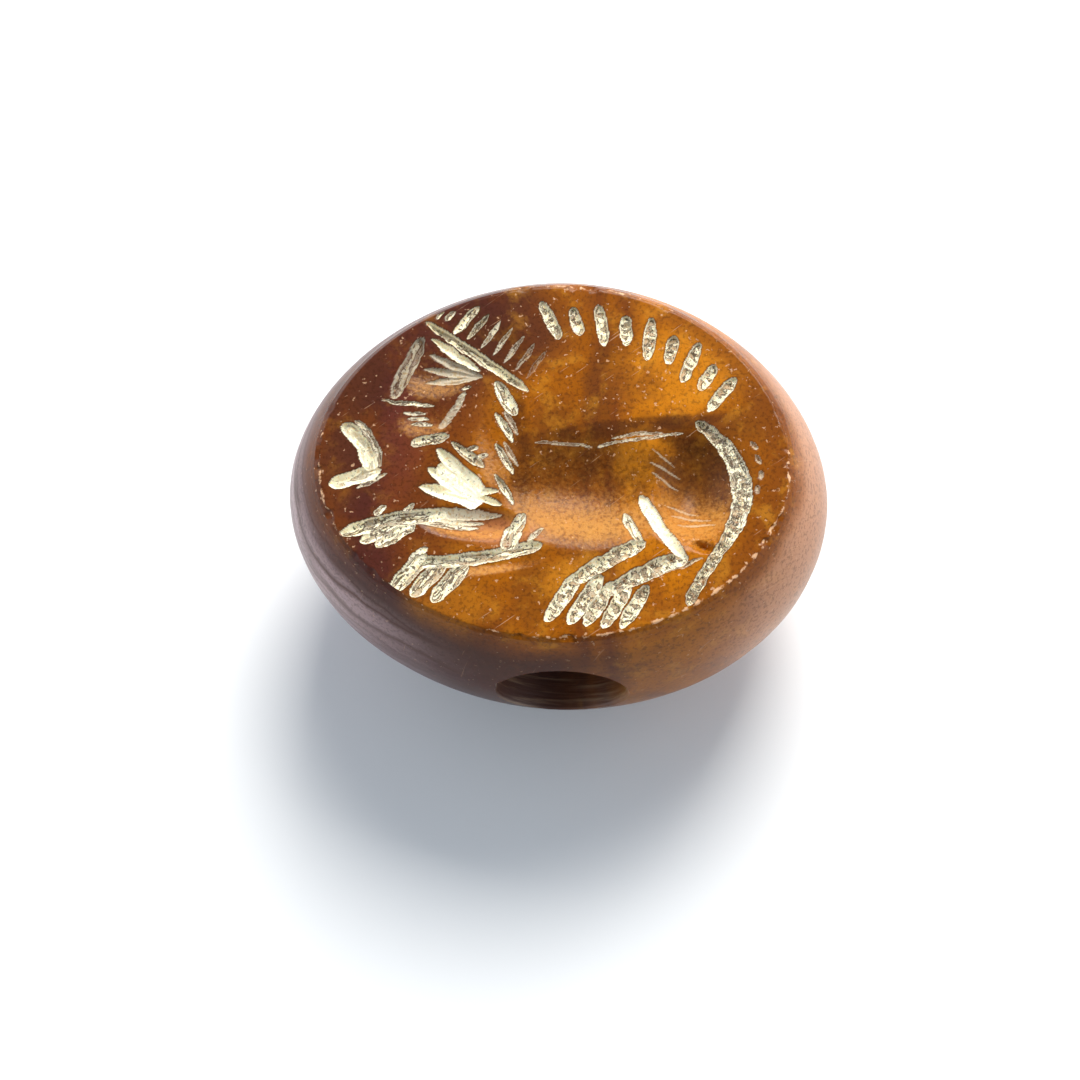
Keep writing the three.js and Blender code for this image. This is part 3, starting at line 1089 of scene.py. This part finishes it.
        # Painted shade: plum and umber darken the front below the rim, standing in for the shade in front
        # of the stone.
        front = sheet.times(below_rim, sheet.rise(x, 1.8, 0.1))
        colour = sheet.mix(sheet.times(front, 0.9), colour, self.plum)
        shaded = sheet.times(sheet.rise(y, -3.0, -5.5), sheet.rise(x, 8.5, 3.5))
        colour = sheet.mix(sheet.times(sheet.times(below_rim, shaded), 0.4), colour, self.umber)
        # The right flank's rose is partly the stone's tone and partly painted glow of light shining
        # through it.
        flank = sheet.times(below_rim, sheet.rise(x, 5.2, 9.4))
        colour = sheet.mix(sheet.times(flank, 0.8), colour, self.rose)
        # The flat bands' mauve, more of it lower down, is partly the stone's and partly painted
        # reflection of the pale surroundings.
        flat_lying = sheet.vector("MULTIPLY", place, self.strata_stretch)
        strata = sheet.ramp(sheet.noise(flat_lying, 1.0, 2.0, 0.5), [
            (0.36, self.mauve), (0.43, self.plum), (0.49, self.mauve), (0.54, self.plum),
            (0.6, self.mauve)])
        strata = sheet.mix(sheet.times(sheet.rise(z, 9.8, 8.2), 0.5), strata, self.mauve)
        end_side = sheet.times(sheet.rise(z, 11.8, 9.6), sheet.rise(x, -2.4, -9.2))
        return sheet.mix(sheet.times(end_side, 0.85), colour, strata)

    def group(self) -> Tree:
        """The colours as a node group over a place in metres.

        Returns:
            A group that takes Place and gives Color.
        """
        group, sheet, takes, gives = new_group("agate_bands", {"Place": "NodeSocketVector"},
                                               {"Color": "NodeSocketColor"})
        in_mm = sheet.scaled(takes.outputs["Place"], 1 / MM)
        swirl = sheet.node("ShaderNodeTexNoise", {"Vector": in_mm, "Scale": self.drift_scale,
                                                   "Detail": 3.0})
        centred = sheet.vector("SUBTRACT", swirl.outputs["Color"], (0.5, 0.5, 0.5))
        warped = sheet.vector("ADD", in_mm, sheet.scaled(centred, self.drift))
        x = sheet.node("ShaderNodeSeparateXYZ", {0: warped}).outputs["X"]
        colour = sheet.mix(self.leftward(sheet, x), self.streaks(sheet, x), self.shells(sheet, warped))
        for patch in self.patches:
            colour = patch.lay(sheet, warped, colour)
        colour = self.clouds(sheet, in_mm, warped, colour)
        colour = self.sides(sheet, warped, colour)
        fleck = sheet.rise(sheet.noise(in_mm, self.fleck_scale, 3.0, 0.7), 0.62, 0.74)
        colour = sheet.mix(sheet.times(fleck, 0.4), colour, self.dust)
        sheet.join(colour, gives.inputs["Color"])
        return group


@dataclass(frozen=True)
class WheelFrost:
    """The pale, matt floor that a wheel leaves, with its own streaks and grains, and painted shade round
    it.
    """

    cream: Colour = rgb(0.99, 0.93, 0.70)
    straw: Colour = rgb(0.88, 0.66, 0.34)
    # Dark colour of the floor's specks, also laid round each mark as painted shade.
    grit_and_shade: Colour = rgb(0.06, 0.024, 0.008)
    line_strength: float = 0.8
    bare_share: float = 0.6
    streak_stretch: Point = (6.5, 1.5, 1.0)
    speck_scale: float = 8.0

    def group(self) -> Tree:
        """The frost as a node group.

        Returns:
            A group that takes Base, Frost, Core, Line and Grain and gives Color, Mask and Height.
        """
        group, sheet, takes, gives = new_group(
            "wheel_frost",
            {"Base": "NodeSocketColor", "Frost": "NodeSocketFloat", "Core": "NodeSocketFloat",
             "Line": "NodeSocketFloat", "Grain": "NodeSocketVector"},
            {"Color": "NodeSocketColor", "Mask": "NodeSocketFloat", "Height": "NodeSocketFloat"})
        grain = takes.outputs["Grain"]
        core = takes.outputs["Core"]
        streak = sheet.noise(sheet.vector("MULTIPLY", grain, self.streak_stretch), 1.0, 2.0, 0.5)
        speck = sheet.noise(grain, self.speck_scale, 3.0, 0.65)
        tone = sheet.mix(sheet.rise(speck, 0.32, 0.5), self.straw, self.cream)
        near_line = sheet.math("ABSOLUTE", sheet.minus(streak, 0.47))
        worm = sheet.rise(near_line, 0.046, 0.024)
        broken = sheet.rise(sheet.plus(speck, sheet.times(core, 0.09)), 0.635, 0.675)
        dark = sheet.times(sheet.most(worm, broken), sheet.rise(core, 0.35, 0.7))
        dark = sheet.most(dark, sheet.times(sheet.rise(speck, 0.6, 0.66), 0.7))
        floor = sheet.mix(sheet.times(dark, 0.88), tone, self.grit_and_shade)
        uneven = sheet.plus(0.86, sheet.times(speck, 0.8))
        mask = sheet.least(sheet.times(takes.outputs["Frost"], uneven), 1.0)
        bare = sheet.times(sheet.rise(streak, 0.46, 0.39), sheet.rise(core, 0.3, 0.65))
        bare = sheet.times(bare, self.bare_share)
        mask = sheet.times(mask, sheet.minus(1.0, bare))
        # Painted shade: a dark line round each mark in the specks' dark colour, weaker where the floor is
        # bare.
        edge = sheet.times(takes.outputs["Line"], sheet.minus(self.line_strength, bare))
        shade_lined = sheet.mix(edge, takes.outputs["Base"], self.grit_and_shade)
        sheet.join(sheet.mix(mask, shade_lined, floor), gives.inputs["Color"])
        sheet.join(mask, gives.inputs["Mask"])
        sheet.join(sheet.minus(sheet.plus(streak, speck), dark), gives.inputs["Height"])
        return group


@dataclass(frozen=True)
class PolishedAgate:
    """The finish of the whole stone outside, with the frost in its cuts.

    The scales of its noises are in cells to a metre.
    """

    roughness: float = 0.1
    side_roughness: float = 0.16
    frost_roughness: float = 0.6
    bloom_roughness: float = 0.55
    glow: float = 0.1
    glow_radius: Point = (1.0, 0.45, 0.2)
    shine: float = 0.1
    ior: float = 1.54
    sand_scale: float = 6500.0
    mottle_scale: float = 6800.0
    shade_scale: float = 1100.0
    pit_scale: float = 5200.0
    scuff_scale: float = 900.0
    fray_scale: float = 3300.0
    scratch_stretch: Point = (500.0, 11000.0, 500.0)
    scratch_turn: float = -38.0
    sand: Colour = rgb(0.56, 0.25, 0.05)
    worn: Colour = rgb(0.72, 0.44, 0.25)
    shade: Colour = rgb(0.06, 0.017, 0.005)
    grain: Colour = rgb(0.03, 0.009, 0.003)
    pitted: Colour = rgb(0.62, 0.36, 0.2)

    def skin(self, sheet: Sheet, place: Socket, stone: Socket, sandy: Socket) -> Socket:
        """The colour of the polished stone: grainy, with painted shade on the hollows' high sides, and
        pale and sandy on their low sides, partly a dull finish and partly painted light.

        Args:
            sheet: The node tree that it is added to.
            place: The place in metres.
            stone: The stone's own colour.
            sandy: The sand's noise.

        Returns:
            The colour.
        """
        dull = sheet.noted("dull_and_painted_light")
        # Pale sandy colour on the bowls' low sides, partly a dull finish and partly painted light.
        sandy_and_painted_light = sheet.times(dull, sheet.rise(sheet.plus(sandy, sheet.times(dull, 0.35)), 0.45, 0.8))
        patchy = sheet.rise(sheet.noise(place, self.shade_scale, 4.0, 0.6), 0.2, 0.62)
        # Painted shade on the bowls' high sides, made patchy.
        shade = sheet.times(sheet.noted("painted_shade"), patchy)
        painted_shade_stone = sheet.mix(sheet.times(shade, 0.82), stone, self.shade)
        mottle = sheet.noise(place, self.mottle_scale, 3.0, 0.65)
        speckled = sheet.rise(mottle, 0.52, 0.36)
        grainy = sheet.mix(speckled, painted_shade_stone, sheet.mix(0.4, painted_shade_stone, self.grain))
        sandy_and_painted_light = sheet.times(sandy_and_painted_light, sheet.minus(0.85, sheet.times(speckled, 0.4)))
        return sheet.mix(sandy_and_painted_light, grainy, self.sand)

    def pits(self, sheet: Sheet, place: Socket, ground: Socket) -> Socket:
        """Pale pits and hairline scratches, fewer on the sides.

        Args:
            sheet: The node tree that they are added to.
            place: The place in metres.
            ground: How much duller the sides are.

        Returns:
            Where they are, from 0 to 1.
        """
        pits = sheet.rise(sheet.noise(place, self.pit_scale, 2.0, 0.5), 0.665, 0.73)
        turned = sheet.node("ShaderNodeVectorRotate",
                            {"Vector": place, "Angle": math.radians(self.scratch_turn)},
                            rotation_type="Z_AXIS").outputs[0]
        drawn = sheet.vector("MULTIPLY", turned, self.scratch_stretch)
        hairline = sheet.rise(sheet.noise(drawn, 1.0, 2.0, 0.5), 0.7, 0.75)
        pits = sheet.most(pits, sheet.times(hairline, 0.7))
        return sheet.times(pits, sheet.minus(1.0, sheet.times(ground, 3.8)))

    def material(self, bands: Tree, frost: Tree) -> Finish:
        """Builds the material.

        Args:
            bands: The stone's colours.
            frost: The floor of the cuts.

        Returns:
            The material.
        """
        made, sheet = new_material("polished_agate")
        place = sheet.node("ShaderNodeTexCoord").outputs["Object"]
        stone = sheet.node("ShaderNodeGroup", node_tree=bands)
        sheet.join(place, stone.inputs["Place"])
        floor = sheet.node("ShaderNodeGroup", node_tree=frost)
        for name, output in (("Frost", "Fac"), ("Core", "Fac"), ("Line", "Fac"), ("Grain", "Vector")):
            sheet.join(sheet.noted(name.lower(), output), floor.inputs[name])
        sandy = sheet.noise(place, self.sand_scale, 3.0, 0.6)
        sheet.join(self.skin(sheet, place, stone.outputs["Color"], sandy), floor.inputs["Base"])
        mask = floor.outputs["Mask"]
        dull = sheet.noted("dull_and_painted_light")
        level = sheet.node("ShaderNodeSeparateXYZ", {0: place}).outputs["Z"]
        ground = sheet.times(sheet.rise(level, 12.1 * MM, 11.6 * MM), self.side_roughness)
        pits = self.pits(sheet, place, ground)
        fray = sheet.noise(place, self.fray_scale, 3.0, 0.6)
        ragged = sheet.plus(sheet.times(sheet.noted("wear"), 0.62), sheet.times(fray, 0.7))
        chipped = sheet.rise(ragged, 0.93, 1.02)
        colour = sheet.mix(sheet.times(chipped, 0.8), floor.outputs["Color"], self.worn)
        colour = sheet.mix(sheet.times(pits, 0.6), colour, self.pitted)
        scuff = sheet.noise(place, self.scuff_scale, 5.0, 0.65)
        gloss = sheet.plus(sheet.plus(self.roughness, ground), sheet.times(scuff, 0.12))
        rough = sheet.plus(gloss, sheet.times(mask, self.frost_roughness - self.roughness))
        rough = sheet.most(rough, sheet.times(dull, self.bloom_roughness))
        rough = sheet.plus(rough, sheet.times(chipped, 0.3))
        height = sheet.minus(sheet.times(floor.outputs["Height"], mask), sheet.times(pits, 0.5))
        height = sheet.plus(height, sheet.times(sheet.times(sandy, dull), 1.5))
        bump = sheet.node("ShaderNodeBump", {"Height": height, "Strength": 0.6, "Distance": 0.04 * MM})
        shader = sheet.node("ShaderNodeBsdfPrincipled", {
            "Base Color": colour, "Roughness": rough, "Normal": bump.outputs[0], "IOR": self.ior,
            "Specular IOR Level": self.shine, "Subsurface Weight": self.glow,
            "Subsurface Radius": self.glow_radius, "Subsurface Scale": 0.25 * MM})
        sheet.node("ShaderNodeOutputMaterial", {0: shader.outputs[0]})
        return made


@dataclass(frozen=True)
class DrilledAgate:
    """The finish of the bore: the same stone, ground dull, with rings left by the drill."""

    roughness: float = 0.5
    ior: float = 1.54
    ring_stretch: Point = (250.0, 4200.0, 250.0)
    pale: Colour = rgb(0.5, 0.34, 0.2)

    def material(self, bands: Tree) -> Finish:
        """Builds the material.

        Args:
            bands: The stone's colours.

        Returns:
            The material.
        """
        made, sheet = new_material("drilled_agate")
        place = sheet.node("ShaderNodeTexCoord").outputs["Object"]
        stone = sheet.node("ShaderNodeGroup", node_tree=bands)
        sheet.join(place, stone.inputs["Place"])
        rings = sheet.noise(sheet.vector("MULTIPLY", place, self.ring_stretch), 1.0, 3.0, 0.6)
        ringed = sheet.times(sheet.rise(rings, 0.5, 0.75), 0.4)
        colour = sheet.mix(ringed, stone.outputs["Color"], self.pale)
        bump = sheet.node("ShaderNodeBump", {"Height": rings, "Strength": 0.5, "Distance": 0.05 * MM})
        shader = sheet.node("ShaderNodeBsdfPrincipled", {
            "Base Color": colour, "Roughness": self.roughness, "Normal": bump.outputs[0],
            "IOR": self.ior})
        sheet.node("ShaderNodeOutputMaterial", {0: shader.outputs[0]})
        return made


@dataclass
class SealStone:
    """The bead seal itself: one stone, ground, bored, carved and worn."""

    form: StoneForm
    bore: Bore
    carving: Carving
    face_cells: int = 132
    side_rings: int = 26
    chip_depth: float = 0.12 * MM
    chip_reach: float = 0.26 * MM
    wear_reach: float = 0.5 * MM

    def face_sheet(self) -> Piece:
        """The flat face as a fine grid, rounded from a square to the stone's plan."""
        sheet = new_grid(self.face_cells, self.face_cells)
        flat = read_places(sheet)
        u, v = flat[:, 0], flat[:, 1]
        disc = np.stack([u * np.sqrt(1 - v * v / 2), v * np.sqrt(1 - u * u / 2)], 1)
        inner = (self.form.face_length - 2 * self.form.edge_round) / self.form.length
        plan = self.form.spread(disc, np.full(len(disc), inner))
        write_places(sheet, np.column_stack([plan, np.full(len(plan), self.form.height)]))
        return sheet

    def rim_turns(self) -> Array:
        """The turns of the face's edge points about its middle, in order, with the first again last."""
        steps = np.linspace(-1, 1, self.face_cells + 1)[:-1]
        quarter = np.arctan2(steps * math.sqrt(0.5), np.sqrt(1 - steps * steps / 2))
        turns = np.concatenate([quarter + i * math.pi / 2 for i in range(4)])
        return np.append(turns, turns[0] + 2 * math.pi)

    def side_levels(self) -> tuple[Array, Array]:
        """Rings from the face's edge, over the rounded rim and the belt, down to the rest flat.

        Returns:
            Each ring's level, and its size as a share of the belt's.
        """
        form = self.form
        round_turns = np.radians([0, 22, 45, 68])
        round_levels = form.height - form.edge_round * (1 - np.cos(round_turns))
        round_shares = (form.face_length - 2 * form.edge_round * (1 - np.sin(round_turns))) / form.length
        start = form.height - 1.5 * form.edge_round
        count = self.side_rings
        run = np.linspace(0, 1, count)
        upper = form.belt + (start - form.belt) * np.cos(run[: count // 2] * math.pi)
        lower = form.belt * (1 - np.sin((run[count // 2:] - 0.5) * math.pi))
        levels = np.concatenate([round_levels, upper, lower])
        shares = np.concatenate([round_shares, form.inset(upper), form.inset(lower)])
        return levels, shares

    def side_sheet(self) -> Piece:
        """The rounded side as a sheet rolled round the stone."""
        levels, shares = self.side_levels()
        turns = self.rim_turns()
        sheet = new_grid(len(turns) - 1, len(levels) - 1)
        flat = read_places(sheet)
        column = np.rint((flat[:, 0] + 1) / 2 * (len(turns) - 1)).astype(int)
        row = np.rint((flat[:, 1] + 1) / 2 * (len(levels) - 1)).astype(int)
        disc = np.stack([np.cos(turns[column]), np.sin(turns[column])], 1)
        plan = self.form.spread(disc, shares[row])
        write_places(sheet, np.column_stack([plan, levels[row]]))
        return sheet

    def build(self) -> Piece:
        """Grinds, bores and carves the stone.

        Returns:
            The finished mesh object.
        """
        stone = self.face_sheet()
        make_active(stone, self.side_sheet())
        bpy.ops.object.join()
        stone.name = "carved_seal_stone"
        stone.data.name = "carved_seal_stone"
        close_solid(stone)
        self.refine(stone)
        cutter = self.bore.cutter(self.form)
        for piece in (stone, cutter):
            for _ in range(2):
                piece.data.materials.append(None)
        hole = stone.modifiers.new("cord_bore", "BOOLEAN")
        hole.operation = "DIFFERENCE"
        hole.solver = "EXACT"
        hole.object = cutter
        bpy.context.view_layer.objects.active = stone
        bpy.ops.object.modifier_apply(modifier=hole.name)
        bpy.data.objects.remove(cutter)
        self.carve(stone)
        return stone

    def refine(self, stone: Piece) -> None:
        """Splits the face's mesh finely where a sharp mark will be.

        Args:
            stone: The closed stone.
        """
        polygons = stone.data.polygons
        middle = np.empty(len(polygons) * 3)
        polygons.foreach_get("center", middle)
        middle = middle.reshape(-1, 3)
        share = self.form.face_length / 100
        on_face = middle[:, 2] > self.form.height - FLAT
        chosen = self.carving.fine_work(middle[:, :2] / share) & on_face
        bpy.ops.object.mode_set(mode="EDIT")
        bpy.ops.mesh.select_mode(type="FACE")
        bpy.ops.mesh.select_all(action="DESELECT")
        bpy.ops.object.mode_set(mode="OBJECT")
        polygons.foreach_set("select", chosen)
        bpy.ops.object.mode_set(mode="EDIT")
        bpy.ops.mesh.subdivide(number_cuts=2)
        bpy.ops.object.mode_set(mode="OBJECT")

    def carve(self, stone: Piece) -> None:
        """Sinks the marks into the face, wears the rim and notes the frost for the finish.

        Args:
            stone: The bored stone.
        """
        form = self.form
        place = read_places(stone)
        share = form.face_length / 100
        on_face = place[:, 2] > form.height - FLAT
        marks = place[on_face, :2] / share
        relief = self.carving.relief(marks, share / MM)
        # The painted shade line round the sharp marks.
        line = self.carving.outline(marks, share / MM)
        half = form.face_length / 2
        rim = np.hypot(place[:, 0] / half, place[:, 1] / (half * form.width / form.length))
        from_rim = np.abs(rim - 1) * half + np.abs(place[:, 2] - form.height)
        rough = layered_noise(place / MM + 40, 0.5, 11, 4)
        chips = smoothstep(0.58, 0.74, rough) * smoothstep(self.chip_reach, 0.05 * MM, from_rim)
        inward = np.column_stack([-place[:, :2], np.full(len(place), -4 * MM)])
        inward /= np.linalg.norm(inward, axis=1)[:, None]
        place += inward * (chips * self.chip_depth)[:, None]
        drop = np.zeros(len(place))
        drop[on_face] = relief.depth() * MM
        place[:, 2] -= drop
        write_places(stone, place)
        self.note(stone, "wear", smoothstep(self.wear_reach, 0.0, from_rim))
        for name, values in (("frost", relief.frost), ("core", relief.core), ("dull_and_painted_light", relief.dull_and_painted_light),
                             ("painted_shade", relief.painted_shade), ("line", line), ("grain", relief.grain)):
            whole = np.zeros((len(place), *values.shape[1:]))
            whole[on_face] = values
            self.note(stone, name, whole)

    def note(self, stone: Piece, name: str, values: Array) -> None:
        """Writes one number or one vector for each vertex into a named attribute."""
        kind, key = ("FLOAT", "value") if values.ndim == 1 else ("FLOAT_VECTOR", "vector")
        made = stone.data.attributes.new(name, kind, "POINT")
        made.data.foreach_set(key, values.astype(np.float32).ravel())

    def dress(self, stone: Piece) -> None:
        """Gives the stone its finishes and its smooth shading.

        Args:
            stone: The finished mesh.
        """
        bands = AgateBands().group()
        stone.data.materials[0] = PolishedAgate().material(bands, WheelFrost().group())
        stone.data.materials[1] = DrilledAgate().material(bands)
        make_active(stone)
        bpy.ops.object.shade_smooth_by_angle(angle=math.radians(38))


@dataclass
class Studio:
    """A pale floor, soft light and a camera that looks down on the stone."""

    belt: float
    distance: float = 120 * MM
    elevation: float = 72.0
    azimuth: float = 9.676
    roll: float = -7.381
    aim: Spot = (-0.927 * MM, -1.617 * MM)
    lens_pixels: float = 3065.4
    frame_pixels: float = 1080.0
    sensor: float = 36.0

    def camera(self) -> None:
        """The camera at the photograph's viewing angle."""
        tilt = math.radians(self.elevation)
        turn = math.radians(self.azimuth)
        back = Vector((math.sin(turn) * math.cos(tilt), -math.cos(turn) * math.cos(tilt), math.sin(tilt)))
        right = Vector((math.cos(turn), math.sin(turn), 0))
        up = back.cross(right)
        middle = Vector((0, 0, self.belt))
        spot = middle + back * self.distance
        target = middle + right * self.aim[0] + up * self.aim[1]
        away = (spot - target).normalized()
        level = up.cross(away).normalized()
        rise = away.cross(level)
        roll = math.radians(self.roll)
        side = level * math.cos(roll) + rise * math.sin(roll)
        top = rise * math.cos(roll) - level * math.sin(roll)
        data = bpy.data.cameras.new("camera")
        data.sensor_width = self.sensor
        data.lens = self.lens_pixels * data.sensor_width / self.frame_pixels
        data.clip_start = 10 * MM
        data.clip_end = 5.0
        seen = bpy.data.objects.new("camera", data)
        seen.matrix_world = Matrix.LocRotScale(spot, Matrix((side, top, away)).transposed(), None)
        bpy.context.scene.collection.objects.link(seen)
        bpy.context.scene.camera = seen

    def floor(self) -> None:
        """A plain pale sheet under the stone."""
        bpy.ops.object.select_all(action="DESELECT")
        bpy.ops.mesh.primitive_plane_add(size=1.2)
        sheet = bpy.context.object
        sheet.name = "floor"
        paper = bpy.data.materials.new("pale_paper")
        paper.use_nodes = True
        shader = paper.node_tree.nodes["Principled BSDF"]
        shader.inputs["Base Color"].default_value = rgb(0.86, 0.87, 0.88)
        shader.inputs["Roughness"].default_value = 0.9
        shader.inputs["Specular IOR Level"].default_value = 0.1
        sheet.data.materials.append(paper)

    def lamp(self, name: str, spot: Point, size: float, power: float, colour: Point) -> None:
        """One soft square lamp aimed at the stone.

        Args:
            name: The lamp's name.
            spot: Where it hangs, in metres.
            size: The length of its side.
            power: Its power in watts.
            colour: Its colour.
        """
        data = bpy.data.lights.new(name, "AREA")
        data.size = size
        data.energy = power
        data.color = colour
        made = bpy.data.objects.new(name, data)
        made.location = spot
        away = Vector(spot) - Vector((0, 0, self.belt))
        made.rotation_euler = away.to_track_quat("Z", "Y").to_euler()
        bpy.context.scene.collection.objects.link(made)

    def light(self) -> None:
        """Soft light from behind and above, with a pale blue fill all round."""
        self.lamp("window", (0.10, 0.38, 0.46), 0.30, 5.0, (1.0, 0.97, 0.92))
        world = bpy.context.scene.world or bpy.data.worlds.new("sky")
        bpy.context.scene.world = world
        world.use_nodes = True
        sky = world.node_tree.nodes["Background"]
        sky.inputs["Color"].default_value = rgb(0.83, 0.91, 1.0)
        sheet = Sheet(world.node_tree)
        way = sheet.node("ShaderNodeTexCoord").outputs["Generated"]
        x, y, z = sheet.node("ShaderNodeSeparateXYZ", {0: way}).outputs
        aside = sheet.math("POWER", sheet.math("ABSOLUTE", x), 2.0)
        behind = sheet.rise(y, -0.35, 0.75)
        open_sky = sheet.plus(sheet.times(aside, 1.1), sheet.times(behind, 0.6))
        low = sheet.rise(z, 0.92, 0.35)
        strength = sheet.plus(0.12, sheet.times(sheet.times(open_sky, low), 2.1))
        sheet.join(strength, sky.inputs["Strength"])
        bpy.context.scene.view_settings.view_transform = "Standard"


def main() -> None:
    """Builds the studio and the stone."""
    logging.basicConfig(level=logging.INFO, format="%(name)s: %(message)s")
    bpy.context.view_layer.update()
    low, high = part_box(NODE)
    form = StoneForm(length=high.x - low.x, height=high.z - low.z)
    studio = Studio(belt=form.belt)
    studio.camera()
    studio.floor()
    studio.light()
    carving = Carving()
    carving.engrave()
    seal = SealStone(form, Bore(), carving)
    stone = seal.build()
    seal.dress(stone)
    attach(stone, BODY)
    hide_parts(NODE)
    stone.data.calc_loop_triangles()
    log.info("%s: %d marks, %d triangles", stone.name, len(carving.cuts), len(stone.data.loop_triangles))


if __name__ == "__main__":
    main()
